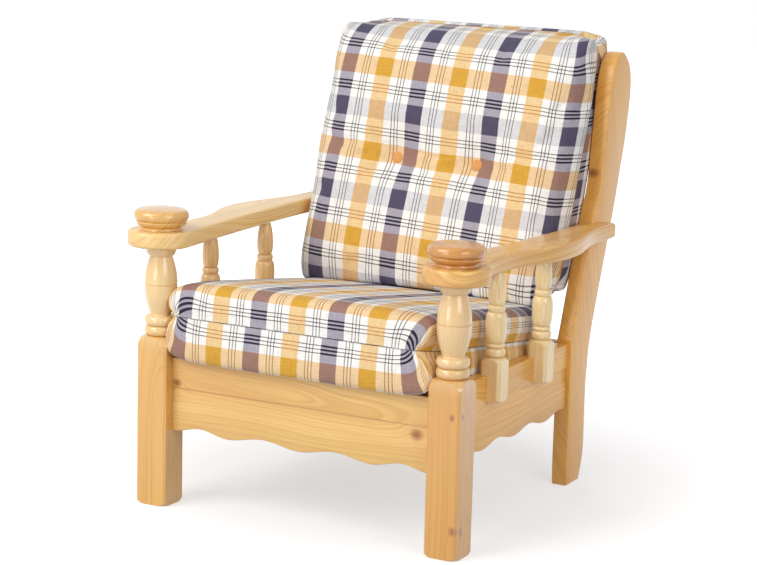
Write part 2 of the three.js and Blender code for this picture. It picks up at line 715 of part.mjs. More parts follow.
function spindleProfile() {
  const length = arm_underside - side_rail_top + block_hang - block_height;
  const height = (name) => block_height + spindle_height_shares[name] * length;
  const profile = new THREE.Path();
  profile.moveTo(0, 0);
  profile.lineTo(block_width / 2, 0);
  profile.lineTo(block_width * Math.SQRT1_2, block_foot_rounding);
  profile.lineTo(block_width * Math.SQRT1_2, block_height);
  profile.quadraticCurveTo(
    block_width / 2, height("shoulder"), spindle_fillet_radius, height("shoulder"));
  bead(profile, height("shoulder"), height("collar"), collar_radius);
  bead(profile, height("collar"), height("small_bead"), small_bead_radius);
  profile.quadraticCurveTo(
    large_bulb_radius, height("small_bead"), large_bulb_radius, height("large_bulb_middle"));
  profile.quadraticCurveTo(
    large_bulb_radius, height("large_bulb"), spindle_fillet_radius, height("large_bulb"));
  bead(profile, height("large_bulb"), height("ring"), ring_radius);
  profile.lineTo(small_bulb_foot_radius, height("ring"));
  profile.quadraticCurveTo(small_bulb_radius, height("ring"), small_bulb_radius, height("small_bulb_middle"));
  profile.quadraticCurveTo(
    small_bulb_radius, height("top") - block_width / 2, spindle_top_radius, height("top"));
  profile.lineTo(0, height("top"));
  return profile;
}

function spindleTenon(side, y, gap = 0) {
  const start = new THREE.Vector3(side * post_x, y, armUnderside(y) - cutter_overrun);
  const length = spindle_tenon_length + cutter_overrun + gap;
  return peg(spindle_tenon_radius + gap, length, start, up);
}

function spindle(side, y) {
  const foot = spindleFoot(y);
  const height = arm_height - foot;
  const square = extruded(chamferedSquare(block_width, block_chamfer), height, right, back);
  square.translate(0, 0, height / 2);
  const lathe = turned(spindleProfile(), spindle_sides, spindle_steps);
  const turning = solidOf(lathe).intersect(solidOf(square));
  const post = turning.translate([side * post_x, y, foot]);
  const rail_space = box(rail_thickness + fit_gap, block_width * 2, block_hang * 2,
    side * (side_rail_x + fit_gap / 2), y, sideRailTop(y) + fit_gap - block_hang);
  const notch = tilted(rail_space, side_rail_slope, y, sideRailTop(y));
  const shaped = without(post, [notch, armSpace(side)]);
  return without(shaped.add(solidOf(spindleTenon(side, y))), [spindleScrew(side, y, fit_gap)]);
}

// One screw a spindle, driven through the side rail from inside
function spindleScrew(side, y, gap = 0) {
  const z = sideRailTop(y) - block_hang / 2;
  const length = rail_thickness + block_width / 2;
  const start = new THREE.Vector3(side * side_rail_inner_x, y, z);
  return screw(length, start, side > 0 ? right : left, gap);
}

// Cushions: two crowned sheets that meet in a seam round the sides, drawn in between the corners.
// The grid is finer towards the edges, and its middle row can be moved to pass through the tufts.
// Powers above 2 make a fuller edge.
const cushion_columns = 20;
const cushion_rows = 20;

// Share of the full height at a place across the cushion: 0 at its seam
function fullness(place, low_power, high_power) {
  const power = place < 0 ? low_power : high_power;
  return Math.max(0, 1 - Math.abs(place) ** power) ** (1 / power);
}

// A sheet's point: across and along run from -1 to 1, and z is the height over the seam
function cushionPoint(across, along, form, sheet) {
  const corner = Math.abs(across * along) ** form.corner_power;
  const inset = 1 - form.corner_share * corner;
  const waist_x = 1 - form.waist_share * (1 - along ** 2) * across ** 2;
  const waist_y = 1 - form.waist_share * (1 - across ** 2) * along ** 2;
  const x = across * inset * waist_x * form.half_width;
  const y = along * inset * waist_y * form.half_length;
  const across_rise = fullness(across, sheet.side_power, sheet.side_power);
  const along_rise = fullness(along, sheet.low_power, sheet.high_power);
  const rise = across_rise * along_rise;
  const bulge = 1 + sheet.bulge_share * along_rise * Math.sin(Math.PI * across_rise);
  const crown = sheet.crown * (1 - sheet.fall_share * (1 + along) / 2);
  let height = crown * rise * (1 - sheet.crown_share * (across ** 2 + along ** 2) / 2);
  for (const tuft of sheet.tufts) {
    const distance = Math.hypot(x - tuft.x, y - tuft.y) / tuft.radius;
    height -= tuft.depth * rise * Math.exp(-(distance ** 2));
  }
  return [x * bulge, y, sheet.direction * height];
}

function cushion(form) {
  const across = (column) => Math.sin((column / cushion_columns - 1 / 2) * Math.PI);
  const along = (row) => {
    const place = Math.sin((row / cushion_rows - 1 / 2) * Math.PI);
    return place + form.middle_row * (1 - place ** 2);
  };
  const positions = [];
  for (const sheet of form.sheets) {
    for (let row = 0; row < cushion_rows; row += 1) {
      for (let column = 0; column < cushion_columns; column += 1) {
        const corners = [[0, 0], [1, 0], [1, 1], [0, 1]].map(([dx, dy]) => (
          cushionPoint(across(column + dx), along(row + dy), form, sheet)));
        const order = sheet.direction > 0 ? [0, 1, 2, 0, 2, 3] : [0, 2, 1, 0, 3, 2];
        for (const corner of order) positions.push(...corners[corner]);
      }
    }
  }
  const geometry = new THREE.BufferGeometry();
  geometry.setAttribute("position", new THREE.Float32BufferAttribute(positions, 3));
  return geometry;
}

// Seat cushion, lying on the slats, with its front over the front rail
const seat_cushion_side_gap = 3; // from the front posts
const seat_cushion_overhang = 27; // in front of the front rail's face
const seat_cushion_rear_gap = 35; // in front of the rear seat rail
const seat_cushion_width = post_spacing - front_post_width - 2 * seat_cushion_side_gap;
const seat_cushion_length = seat_depth + seat_cushion_overhang - seat_cushion_rear_gap;
const seat_cushion_under = 84; // from its underside to its seam
const seat_cushion_over = 76; // from its seam to its crown

function seatCushion() {
  const edges = { side_power: 9, low_power: 9, high_power: 9, bulge_share: 0.004 };
  const upper = { ...edges, crown_share: 0.05, fall_share: 0.1, tufts: [] };
  const lower = { ...edges, crown_share: 0, fall_share: 0, tufts: [] };
  const form = {
    half_width: seat_cushion_width / 2,
    half_length: seat_cushion_length / 2,
    corner_power: 6,
    corner_share: 0.01,
    waist_share: 0.006,
    middle_row: 0,
    sheets: [
      { ...upper, direction: 1, crown: seat_cushion_over },
      { ...lower, direction: -1, crown: seat_cushion_under },
    ],
  };
  const y = seat_cushion_length / 2 - seat_cushion_overhang;
  return solidOf(onSeat(cushion(form).translate(0, y, seat_cushion_under + fit_gap)));
}

// Back cushion, leaning on the back frame, with its bottom level on the seat cushion and two tufts
const back_cushion_side_gap = 3; // from the rear posts
const back_cushion_height = 530;
const back_cushion_lift = 95; // of its bottom above the front rail's top
const back_cushion_width = rear_post_spread - 2 * back_cushion_side_gap;
const back_cushion_bottom = seat_height + back_cushion_lift;
const back_cushion_front = 116; // level depth from its seam to its crown
const back_cushion_rear = 62; // level depth from its seam to the back frame
const tuft_offset = 92; // of each tuft from the middle
const tuft_height = 650;
const tuft_radius = 38;
const tuft_depth = 26;
const rear_tuft_depth = 14;
const button_radius = 13;
const button_thickness = 6;
const button_sinking = 2; // of its base into the cushion

// Leans an upright geometry back without tipping its level lines
function sheared(geometry) {
  const lean = Math.tan(back_slope);
  return geometry.applyMatrix4(new THREE.Matrix4().makeShear(0, 0, 0, 0, 0, lean));
}

// Stands a geometry that is made lying, with its seam at z = 0, in the back cushion's place
function againstBack(geometry) {
  const seam_y = back_plane_y - fit_gap - back_cushion_rear;
  const middle = back_cushion_bottom + back_cushion_height / 2;
  geometry.rotateX(Math.PI / 2).translate(0, 0, middle);
  return sheared(geometry).translate(0, seam_y, 0);
}

function backCushion() {
  const y = tuft_height - back_cushion_bottom - back_cushion_height / 2;
  const places = [{ x: -tuft_offset, y }, { x: tuft_offset, y }];
  const form = {
    half_width: back_cushion_width / 2,
    half_length: back_cushion_height / 2,
    corner_power: 6,
    corner_share: 0.018,
    waist_share: 0.006,
    middle_row: y / (back_cushion_height / 2),
    sheets: [
      {
        direction: 1, crown: back_cushion_front, crown_share: 0.05, fall_share: 0, bulge_share: 0.04,
        side_power: 13, low_power: 12, high_power: 6,
        tufts: places.map((place) => ({ ...place, radius: tuft_radius, depth: tuft_depth })),
      },
      {
        direction: -1, crown: back_cushion_rear, crown_share: 0, fall_share: 0, bulge_share: 0,
        side_power: 5, low_power: 8, high_power: 5,
        tufts: places.map((place) => ({ ...place, radius: tuft_radius, depth: rear_tuft_depth })),
      },
    ],
  };
  const pockets = [-1, 1].flatMap((side) => [frontButton(side, fit_gap), rearButton(side, fit_gap)]);
  return without(solidOf(againstBack(cushion(form))), pockets);
}

// Covered button: a shallow dome. As a cutter it makes the flat-bottomed place that it sits in.
function button(gap) {
  const profile = new THREE.Path();
  profile.moveTo(0, -gap);
  profile.lineTo(button_radius + gap, -gap);
  profile.lineTo(button_radius + gap, button_thickness / 2);
  if (gap > 0) {
    profile.lineTo(button_radius + gap, cutter_overrun);
    profile.lineTo(0, cutter_overrun);
  } else {
    profile.quadraticCurveTo(button_radius, button_thickness, 0, button_thickness);
  }
  return turned(profile, spindle_sides, spindle_steps);
}

function frontButton(side, gap = 0) {
  const y = tuft_height - back_cushion_bottom - back_cushion_height / 2;
  const base = back_cushion_front - tuft_depth - button_sinking;
  return againstBack(button(gap).translate(side * tuft_offset, y, base));
}

function rearButton(side, gap = 0) {
  const y = tuft_height - back_cushion_bottom - back_cushion_height / 2;
  const base = rear_tuft_depth + button_sinking - back_cushion_rear;
  return againstBack(button(gap).rotateX(Math.PI).translate(side * tuft_offset, y, base));
}

// The chair
const chair = new THREE.Group();

function add(name, solid, finish) {
  chair.add(meshOf(name, solid, finish));
}

for (const [side, word] of [[-1, "left"], [1, "right"]]) {
  add(`front_post_${word}`, frontPost(side), pine);
  add(`post_cap_${word}`, postCap(side), pine);
  add(`arm_${word}`, arm(side), pine);
  add(`side_rail_${word}`, sideRail(side), pine);
  add(`rear_post_${word}`, rearPost(side), pine);
  spindle_positions.forEach((y, i) => {
    const place = `${word}_${i + 1}`;
    add(`spindle_${place}`, spindle(side, y), pale_pine);
    add(`spindle_screw_${place}`, solidOf(spindleScrew(side, y)), zinc_screw);
  });
  add(`seat_batten_${word}`, batten(side), unfinished_pine);
  battenScrews(side).forEach((piece, i) => {
    add(`batten_screw_${word}_${i + 1}`, solidOf(piece), zinc_screw);
  });
  add(`arm_screw_${word}`, solidOf(armScrew(side)), zinc_screw);
  add(`tuft_button_${word}`, solidOf(frontButton(side)), peach_cloth);
  add(`tuft_back_button_${word}`, solidOf(rearButton(side)), peach_cloth);
}

add("front_rail", frontRail(), pine);
add("rear_seat_rail", rearSeatRail(), pine);
add("lower_back_rail", backRail(lower_back_rail_height), pine);
add("upper_back_rail", backRail(upper_back_rail_height), pine);
backSlatPositions().forEach((x, i) => add(`back_slat_${i + 1}`, solidOf(backSlat(x)), pine));
seatSlatPositions().forEach((y, i) => add(`seat_slat_${i + 1}`, solidOf(seatSlat(y)), unfinished_pine));
add("seat_cushion", seatCushion(), checked_cloth);
add("back_cushion", backCushion(), checked_cloth);

// The origin is under the middle of the chair's depth, from the paddles' fronts to the posts' backs
const rear_share = Math.max(...rear_post_back_shares.map(([y_share]) => y_share));
const rear_reach = rear_post_set_back + rear_post_sweep * rear_share;
chair.position.y = (paddle_radius - rear_reach) / 2;

export default chair;
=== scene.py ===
import math

import bmesh
import bpy
import numpy as np
from mathutils import Euler, Matrix, Vector
from mathutils.bvhtree import BVHTree


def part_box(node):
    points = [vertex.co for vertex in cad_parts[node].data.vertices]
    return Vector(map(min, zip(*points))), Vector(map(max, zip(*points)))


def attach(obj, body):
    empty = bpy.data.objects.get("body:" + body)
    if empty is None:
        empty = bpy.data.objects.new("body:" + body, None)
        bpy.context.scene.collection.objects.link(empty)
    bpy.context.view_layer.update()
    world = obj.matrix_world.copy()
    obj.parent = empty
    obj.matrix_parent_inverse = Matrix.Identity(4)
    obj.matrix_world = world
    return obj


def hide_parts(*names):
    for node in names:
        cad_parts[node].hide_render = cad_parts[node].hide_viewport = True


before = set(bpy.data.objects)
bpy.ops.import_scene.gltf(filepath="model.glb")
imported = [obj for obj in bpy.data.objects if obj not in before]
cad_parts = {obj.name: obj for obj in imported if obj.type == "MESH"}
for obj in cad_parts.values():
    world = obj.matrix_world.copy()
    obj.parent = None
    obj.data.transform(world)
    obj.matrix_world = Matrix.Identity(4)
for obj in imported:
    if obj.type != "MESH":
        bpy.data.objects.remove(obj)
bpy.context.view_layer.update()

# ## Camera and studio
# The chair stands on a white sweep of paper, seen from in front of its right arm and a little above
# the arms. One large soft light stands high to the front left, a weak one level with the seat in
# front, which gives the turned posts their upright highlights, and a weak one to the right.

image_width = 757
focal_pixels = 2307
camera_turn, camera_rise, camera_roll = (math.radians(a) for a in (28.07, 11.26, 1.46))
camera_place = Vector((2.1448, -4.0877, 1.3409))

level_right = Vector((math.cos(camera_turn), math.sin(camera_turn), 0))
backwards = Vector((
    math.sin(camera_turn) * math.cos(camera_rise),
    -math.cos(camera_turn) * math.cos(camera_rise),
    math.sin(camera_rise),
))
level_up = backwards.cross(level_right)
image_right = math.cos(camera_roll) * level_right + math.sin(camera_roll) * level_up
image_up = math.cos(camera_roll) * level_up - math.sin(camera_roll) * level_right

camera_data = bpy.data.cameras.new("camera")
camera_data.sensor_width = 36
camera_data.lens = focal_pixels * camera_data.sensor_width / image_width
camera = bpy.data.objects.new("camera", camera_data)
camera.matrix_world = (
    Matrix.Translation(camera_place) @ Matrix((image_right, image_up, backwards)).transposed().to_4x4()
)
bpy.context.scene.collection.objects.link(camera)
bpy.context.scene.camera = camera
bpy.context.scene.view_settings.view_transform = "Standard"


def add(tree, kind, inputs=None, **settings):
    """Adds a node with its settings; an input is a value or another node's output."""
    node = tree.nodes.new(kind)
    for name, value in settings.items():
        setattr(node, name, value)
    for name, value in (inputs or {}).items():
        if isinstance(value, bpy.types.NodeSocket):
            tree.links.new(value, node.inputs[name])
        else:
            node.inputs[name].default_value = value
    return node


def linear(code):
    """An sRGB hex colour as linear red, green, blue and 1."""
    parts = [int(code[i:i + 2], 16) / 255 for i in (1, 3, 5)]
    return [c / 12.92 if c <= 0.04045 else ((c + 0.055) / 1.055) ** 2.4 for c in parts] + [1]


def lamp(name, place, target, size, watts):
    """A square soft light, in metres, turned to its target."""
    data = bpy.data.lights.new(name, "AREA")
    data.size = size
    data.energy = watts
    light = bpy.data.objects.new(name, data)
    light.location = place
    light.rotation_euler = (Vector(target) - Vector(place)).to_track_quat("-Z", "Y").to_euler()
    bpy.context.scene.collection.objects.link(light)


lamp("softbox", (-2.2, -3.6, 3.8), (0, 0, 0.4), 3.2, 158)
lamp("level_softbox", (-0.9, -4.6, 0.9), (0, 0, 0.5), 1.4, 30)
lamp("fill", (3.6, -2.0, 2.0), (0, 0, 0.4), 2.0, 46)


def material_tree(name):
    """A new material and its emptied node tree."""
    material = bpy.data.materials.new(name)
    material.use_nodes = True
    material.node_tree.nodes.clear()
    return material, material.node_tree


def seen_directly(tree):
    """1 for what the camera sees, and what shows in a reflection or through a clear thing."""
    rays = add(tree, "ShaderNodeLightPath").outputs
    seen = add(tree, "ShaderNodeMath", {0: rays["Is Camera Ray"], 1: rays["Is Glossy Ray"]}, operation="MAXIMUM")
    seen = add(tree, "ShaderNodeMath", {0: seen.outputs[0], 1: rays["Is Transmission Ray"]}, operation="MAXIMUM")
    return seen.outputs[0]


# White all round, and weaker as a light than it looks
world = bpy.data.worlds.new("studio")
bpy.context.scene.world = world
world.use_nodes = True
tree = world.node_tree
tree.nodes.clear()
strength = add(tree, "ShaderNodeMapRange", {"Value": seen_directly(tree), "To Min": 0.55, "To Max": 1.0})
background = add(tree, "ShaderNodeBackground", {"Color": linear("#ffffff"), "Strength": strength.outputs[0]})
add(tree, "ShaderNodeOutputWorld", {"Surface": background.outputs[0]})

# Matt paper with a painted glow for the camera, which overexposes it to plain white away from the chair and is weaker
# near it, a painted darkening round the chair, where it still takes its soft shadow
paper, tree = material_tree("white_background_paper")
place = add(tree, "ShaderNodeTexCoord").outputs["Object"]
reach = add(tree, "ShaderNodeVectorMath", {0: place}, operation="LENGTH").outputs["Value"]
reach = add(tree, "ShaderNodeMapRange", {
    "Value": reach, "From Min": 0.4, "From Max": 1.25, "To Min": 0.56, "To Max": 1.0}).outputs[0]
glow = add(tree, "ShaderNodeMath", {0: seen_directly(tree), 1: reach}, operation="MULTIPLY")
matt = add(tree, "ShaderNodeBsdfDiffuse", {"Color": linear("#b6b5b6")})
glowing = add(tree, "ShaderNodeEmission", {"Color": linear("#ffffff"), "Strength": glow.outputs[0]})
lit = add(tree, "ShaderNodeAddShader", {0: matt.outputs[0], 1: glowing.outputs[0]})
add(tree, "ShaderNodeOutputMaterial", {"Surface": lit.outputs[0]})

sweep = 9
floor_mesh = bpy.data.meshes.new("paper_floor")
floor_mesh.from_pydata([(-sweep, -sweep, 0), (sweep, -sweep, 0), (sweep, sweep, 0), (-sweep, sweep, 0)], [],
                       [(0, 1, 2, 3)])
floor_mesh.materials.append(paper)
floor = bpy.data.objects.new("paper_floor", floor_mesh)
bpy.context.scene.collection.objects.link(floor)

# ## Front posts
# Pine, 68 mm square, left square to the seat and turned above it: a shoulder, two beads, a double
# barrel with a groove round its middle, and a cone that carries the arm. Satin lacquered.

mm = 0.001
sides = ((-1, "left"), (1, "right"))
post_half_spacing = 322
post_width = 68
post_chamfer = 4
square_height = 303
arm_underside = 520
post_low, post_high = (Vector(corner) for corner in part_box("front_post_left"))
post_y = (post_low.y + post_high.y) / 2 / mm


def bezier(steps, *controls):
    """Points along a curve of any order, without its first point."""
    points = []
    for step in range(1, steps + 1):
        level = [Vector(c) for c in controls]
        while len(level) > 1:
            level = [a.lerp(b, step / steps) for a, b in zip(level, level[1:])]
        points.append(tuple(level[0]))
    return points


def tree_with(name, *inputs):
    """A geometry tree with its named inputs, and the sockets that give them inside it."""
    tree = bpy.data.node_groups.new(name, "GeometryNodeTree")
    for label, kind in (("Geometry", "Geometry"), *inputs, ("Material", "Material")):
        tree.interface.new_socket(label, in_out="INPUT", socket_type="NodeSocket" + kind)
    tree.interface.new_socket("Geometry", in_out="OUTPUT", socket_type="NodeSocketGeometry")
    return tree, tree.nodes.new("NodeGroupInput").outputs


def finished(tree, geometry, material):
    """Ends a geometry tree: copies made real, and the material set."""
    plain = add(tree, "GeometryNodeRealizeInstances", {"Geometry": geometry}).outputs[0]
    covered = add(tree, "GeometryNodeSetMaterial", {"Geometry": plain, "Material": material}).outputs[0]
    add(tree, "NodeGroupOutput", {"Geometry": covered})


def evaluated_mesh(piece):
    """The plain mesh that an object's modifiers give, with the modifiers removed."""
    made = bpy.data.meshes.new_from_object(piece.evaluated_get(bpy.context.evaluated_depsgraph_get()))
    piece.modifiers.clear()
    return made


def grown(name, tree, mesh, **values):
    """What a geometry tree makes of a mesh, as an object with a plain mesh."""
    piece = bpy.data.objects.new(name, mesh)
    bpy.context.scene.collection.objects.link(piece)
    modifier = piece.modifiers.new("tree", "NODES")
    modifier.node_group = tree
    for socket in tree.interface.items_tree:
        if socket.in_out == "INPUT" and socket.name in values:
            modifier[socket.identifier] = values[socket.name]
    made = evaluated_mesh(piece)
    bm = bmesh.new()
    bm.from_mesh(made)
    bmesh.ops.recalc_face_normals(bm, faces=bm.faces)
    bm.to_mesh(made)
    bm.free()
    piece.data = made
    return piece


# A grid with a row for each side, whose points take the profile's radius and height
lathe, given = tree_with("turned_on_the_lathe", ("Sides", "Int"))
count = add(lathe, "GeometryNodeAttributeDomainSize", {"Geometry": given["Geometry"]}).outputs["Point Count"]
rows = add(lathe, "ShaderNodeMath", {0: given["Sides"], 1: 1.0}, operation="ADD").outputs[0]
grid = add(lathe, "GeometryNodeMeshGrid", {"Vertices X": rows, "Vertices Y": count}).outputs["Mesh"]
number = add(lathe, "GeometryNodeInputIndex").outputs[0]
row = add(lathe, "ShaderNodeMath", {0: number, 1: count}, operation="DIVIDE").outputs[0]
row = add(lathe, "ShaderNodeMath", {0: row}, operation="FLOOR").outputs[0]
place = add(lathe, "ShaderNodeMath", {0: number, 1: count}, operation="MODULO").outputs[0]
place = add(lathe, "GeometryNodeSampleIndex", {
    "Geometry": given["Geometry"], "Value": add(lathe, "GeometryNodeInputPosition").outputs[0], "Index": place},
    data_type="FLOAT_VECTOR").outputs[0]
turn = add(lathe, "ShaderNodeMath", {0: row, 1: given["Sides"]}, operation="DIVIDE").outputs[0]
turn = add(lathe, "ShaderNodeMath", {0: turn, 1: 2 * math.pi}, operation="MULTIPLY").outputs[0]
place = add(lathe, "ShaderNodeVectorRotate", {"Vector": place, "Angle": turn}, rotation_type="Z_AXIS").outputs[0]
skin = add(lathe, "GeometryNodeSetPosition", {"Geometry": grid, "Position": place}).outputs[0]
skin = add(lathe, "GeometryNodeMergeByDistance", {"Geometry": skin, "Distance": 1e-6}).outputs[0]
finished(lathe, skin, given["Material"])


def turned(name, profile, sides, material=None):
    """A profile of (radius, height) points turned round an upright axis."""
    mesh = bpy.data.meshes.new(name)
    mesh.from_pydata([(r * mm, 0, h * mm) for r, h in profile], [(i, i + 1) for i in range(len(profile) - 1)], [])
    return grown(name, lathe, mesh, Sides=sides, Material=material)


def prism(outline, low, high):
    """An outline of (x, y) points as an upright prism."""
    bm = bmesh.new()
    base = [bm.verts.new((x * mm, y * mm, low * mm)) for x, y in outline]
    top = [bm.verts.new((x * mm, y * mm, high * mm)) for x, y in outline]
    bm.faces.new(base[::-1])
    bm.faces.new(top)
    for i in range(len(outline)):
        j = (i + 1) % len(outline)
        bm.faces.new([base[i], base[j], top[j], top[i]])
    bmesh.ops.recalc_face_normals(bm, faces=bm.faces)
    return bm


def chamfered_square(width, chamfer):
    """The eight (x, y) corners of a square with its own corners cut off."""
    half, edge = width / 2, width / 2 - chamfer
    corners = [(half, -edge), (half, edge), (edge, half), (-edge, half)]
    return corners + [(-x, -y) for x, y in corners]


def object_of(name, bm):
    """A finished bmesh as an object."""
    mesh = bpy.data.meshes.new(name)
    bm.to_mesh(mesh)
    bm.free()
    piece = bpy.data.objects.new(name, mesh)
    bpy.context.scene.collection.objects.link(piece)
    return piece


def shaped(piece, *others):
    """One closed form met with or cut by others, given as (operation, form) pairs."""
    for operation, other in others:
        tool = object_of("tool", other)
        modifier = piece.modifiers.new("cut", "BOOLEAN")
        modifier.operation = operation
        modifier.solver = "EXACT"
        modifier.object = tool
        piece.data = evaluated_mesh(piece)
        bpy.data.objects.remove(tool)
    return piece


def fitted(piece, material, nodes, body="frame", angle=32):
    """Gives a piece its finish, smooths its rounded faces, and sets it in the place of its nodes."""
    piece.data.materials.clear()
    piece.data.materials.append(material)
    piece.data.shade_smooth()
    piece.data.set_sharp_from_angle(angle=math.radians(angle))
    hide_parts(*nodes)
    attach(piece, body)
    return piece


def pine(name, middle, lay, pith, early="#edbf70", late="#c5853b", rings=0.0042, contrast=0.5, gloss=0.36,
         coat=0.3, knots=(), own_grain=False, painted_highlight_above=None):
    """Lacquered pine: pale early wood and honey late wood in rings round the pith, bent round knots.

    middle is the piece's middle and pith the trunk's middle beside it, in mm; lay turns the grain
    upright. Each knot is (place in mm, radius in mm, how far each axis counts: less where it is long).
    With own_grain the wood is set out from each copy's own attribute instead of from the chair.
    Above the height given in mm the colour is painted paler: a painted highlight for the broad sheen on the turned
    parts.
    """
    material, tree = material_tree(name)
    turn = Euler([math.radians(a) for a in lay]).to_matrix()
    shift = -(turn @ (Vector(middle) * mm))
    if own_grain:
        place = add(tree, "ShaderNodeAttribute", attribute_name="grain").outputs["Vector"]
    else:
        place = add(tree, "ShaderNodeTexCoord").outputs["Object"]
    place = add(tree, "ShaderNodeMapping", {
        "Vector": place, "Location": shift, "Rotation": Euler([math.radians(a) for a in lay])}).outputs[0]
    # The trunk's slow bends, of up to 25 mm over some 200 mm
    slow = add(tree, "ShaderNodeVectorMath", {0: place, 1: (5.0, 5.0, 1.6)}, operation="MULTIPLY").outputs[0]
    bends = add(tree, "ShaderNodeTexNoise", {"Vector": slow, "Scale": 1.0, "Detail": 2.0, "Roughness": 0.45})
    bent = bends.outputs["Color"]
    for operation, value in (("ADD", (-0.5, -0.5, -0.5)), ("MULTIPLY", (0.05, 0.05, 0)), ("ADD", place),
                             ("SUBTRACT", Vector(pith) * mm), ("MULTIPLY", (1, 1, 0))):
        bent = add(tree, "ShaderNodeVectorMath", {0: bent, 1: value}, operation=operation).outputs[0]
    radius = add(tree, "ShaderNodeVectorMath", {0: bent}, operation="LENGTH").outputs["Value"]
    along = add(tree, "ShaderNodeSeparateXYZ", {0: place}).outputs[2]
    radius = add(tree, "ShaderNodeMath", {0: along, 1: 0.016, 2: radius}, operation="MULTIPLY_ADD").outputs[0]
    knot_mask = None
    for knot_place, knot_radius, squash in knots:
        centre = turn @ (Vector(knot_place) * mm) + shift
        gap = add(tree, "ShaderNodeVectorMath", {0: place, 1: centre}, operation="SUBTRACT").outputs[0]
        gap = add(tree, "ShaderNodeVectorMath", {0: gap, 1: squash}, operation="MULTIPLY").outputs[0]
        distance = add(tree, "ShaderNodeVectorMath", {0: gap}, operation="LENGTH").outputs["Value"]
        share = add(tree, "ShaderNodeMath", {0: distance, 1: knot_radius * mm * 2.2}, operation="DIVIDE").outputs[0]
        push = share
        for operation, inputs in (("MULTIPLY", {1: share}), ("MULTIPLY", {1: -1.0}), ("EXPONENT", {}),
                                  ("MULTIPLY_ADD", {1: knot_radius * mm * 0.9, 2: radius})):
            push = add(tree, "ShaderNodeMath", {0: push, **inputs}, operation=operation).outputs[0]
        radius = push
        mask = add(tree, "ShaderNodeMapRange", {
            "Value": distance, "From Min": knot_radius * mm * 1.4, "From Max": knot_radius * mm * 0.4}).outputs[0]
        if knot_mask is None:
            knot_mask = mask
        else:
            knot_mask = add(tree, "ShaderNodeMath", {0: knot_mask, 1: mask}, operation="MAXIMUM").outputs[0]
    phase = add(tree, "ShaderNodeMath", {0: radius, 1: rings}, operation="DIVIDE").outputs[0]
    # Good and poor years: rings wider and narrower than the rest
    years = add(tree, "ShaderNodeTexNoise", {"W": phase, "Scale": 0.7, "Detail": 1.0}, noise_dimensions="1D")
    years = years.outputs["Fac"]
    phase = add(tree, "ShaderNodeMath", {0: years, 1: 2.6, 2: phase}, operation="MULTIPLY_ADD").outputs[0]
    phase = add(tree, "ShaderNodeMath", {0: phase}, operation="FRACT").outputs[0]
    ring = add(tree, "ShaderNodeValToRGB", {"Fac": phase})
    stops = ring.color_ramp.elements
    stops[0].position, stops[0].color = 0.0, (0, 0, 0, 1)
    stops[1].position, stops[1].color = 1.0, (0, 0, 0, 1)
    for position, value in ((0.45, 0.18), (0.84, 0.95), (0.93, 0.6)):
        stop = stops.new(position)
        stop.color = (value, value, value, 1)
    ring = ring.outputs[0]
    # Fibres, a few tenths of a millimetre wide, drawn at about a millimetre to show at all
    fine = add(tree, "ShaderNodeVectorMath", {0: place, 1: (900, 900, 14)}, operation="MULTIPLY").outputs[0]
    fibre = add(tree, "ShaderNodeTexNoise", {"Vector": fine, "Scale": 1.0, "Detail": 2.0}).outputs["Fac"]
    patch = add(tree, "ShaderNodeTexNoise", {"Vector": slow, "Scale": 2.3, "Detail": 1.0}).outputs["Fac"]
    strength = add(tree, "ShaderNodeMapRange", {
        "Value": patch, "From Min": 0.3, "From Max": 0.7, "To Min": contrast * 1.25, "To Max": contrast * 0.7})
    strength = add(tree, "ShaderNodeMath", {0: ring, 1: strength.outputs[0]}, operation="MULTIPLY").outputs[0]
    warm = add(tree, "ShaderNodeMapRange", {
        "Value": patch, "From Min": 0.42, "From Max": 0.75, "To Min": 0.0, "To Max": 0.4}).outputs[0]
    streak = add(tree, "ShaderNodeMapRange", {
        "Value": fibre, "From Min": 0.45, "From Max": 0.85, "To Min": 0.0, "To Max": 0.3}).outputs[0]
    layers = [(strength, linear(late)), (warm, linear("#d2934d")), (streak, linear("#b37a3c"))]
    if knot_mask is not None:
        knot_colour = add(tree, "ShaderNodeMix", {
            "Factor": fibre, "A": linear("#b8742f"), "B": linear("#8b4f22")}, data_type="RGBA").outputs["Result"]
        layers.append((knot_mask, knot_colour))
    # Painted highlight: the colour turns paler up the turned part, standing in for its broad sheen
    if painted_highlight_above is not None:
        height = add(tree, "ShaderNodeTexCoord").outputs["Object"]
        height = add(tree, "ShaderNodeSeparateXYZ", {0: height}).outputs[2]
        painted_highlight = add(tree, "ShaderNodeMapRange", {
            "Value": height, "From Min": painted_highlight_above * mm, "From Max": (painted_highlight_above + 60) * mm, "To Max": 0.5})
        layers.append((painted_highlight.outputs[0], linear("#f6e0b0")))
    colour = linear(early)
    for mask, tone in layers:
        colour = add(tree, "ShaderNodeMix", {"Factor": mask, "A": colour, "B": tone}, data_type="RGBA")
        colour = colour.outputs["Result"]
    relief = add(tree, "ShaderNodeMath", {0: ring, 1: fibre}, operation="ADD").outputs[0]
    bump = add(tree, "ShaderNodeBump", {"Height": relief, "Strength": 0.12, "Distance": 0.0004}).outputs[0]
    shader = add(tree, "ShaderNodeBsdfPrincipled", {
        "Base Color": colour, "Roughness": gloss, "Normal": bump, "Coat Weight": coat, "Coat Roughness": 0.16})
    add(tree, "ShaderNodeOutputMaterial", {"Surface": shader.outputs[0]})
    return material


def bead(profile, low, high, radius):
    """A profile with a half-round bead added to it, from low to high."""
    start = profile[-1][0]
    return profile + [(start, low)] + bezier(8, (start, low), (2 * radius - start, low),
                                             (2 * radius - start, high), (start, high))


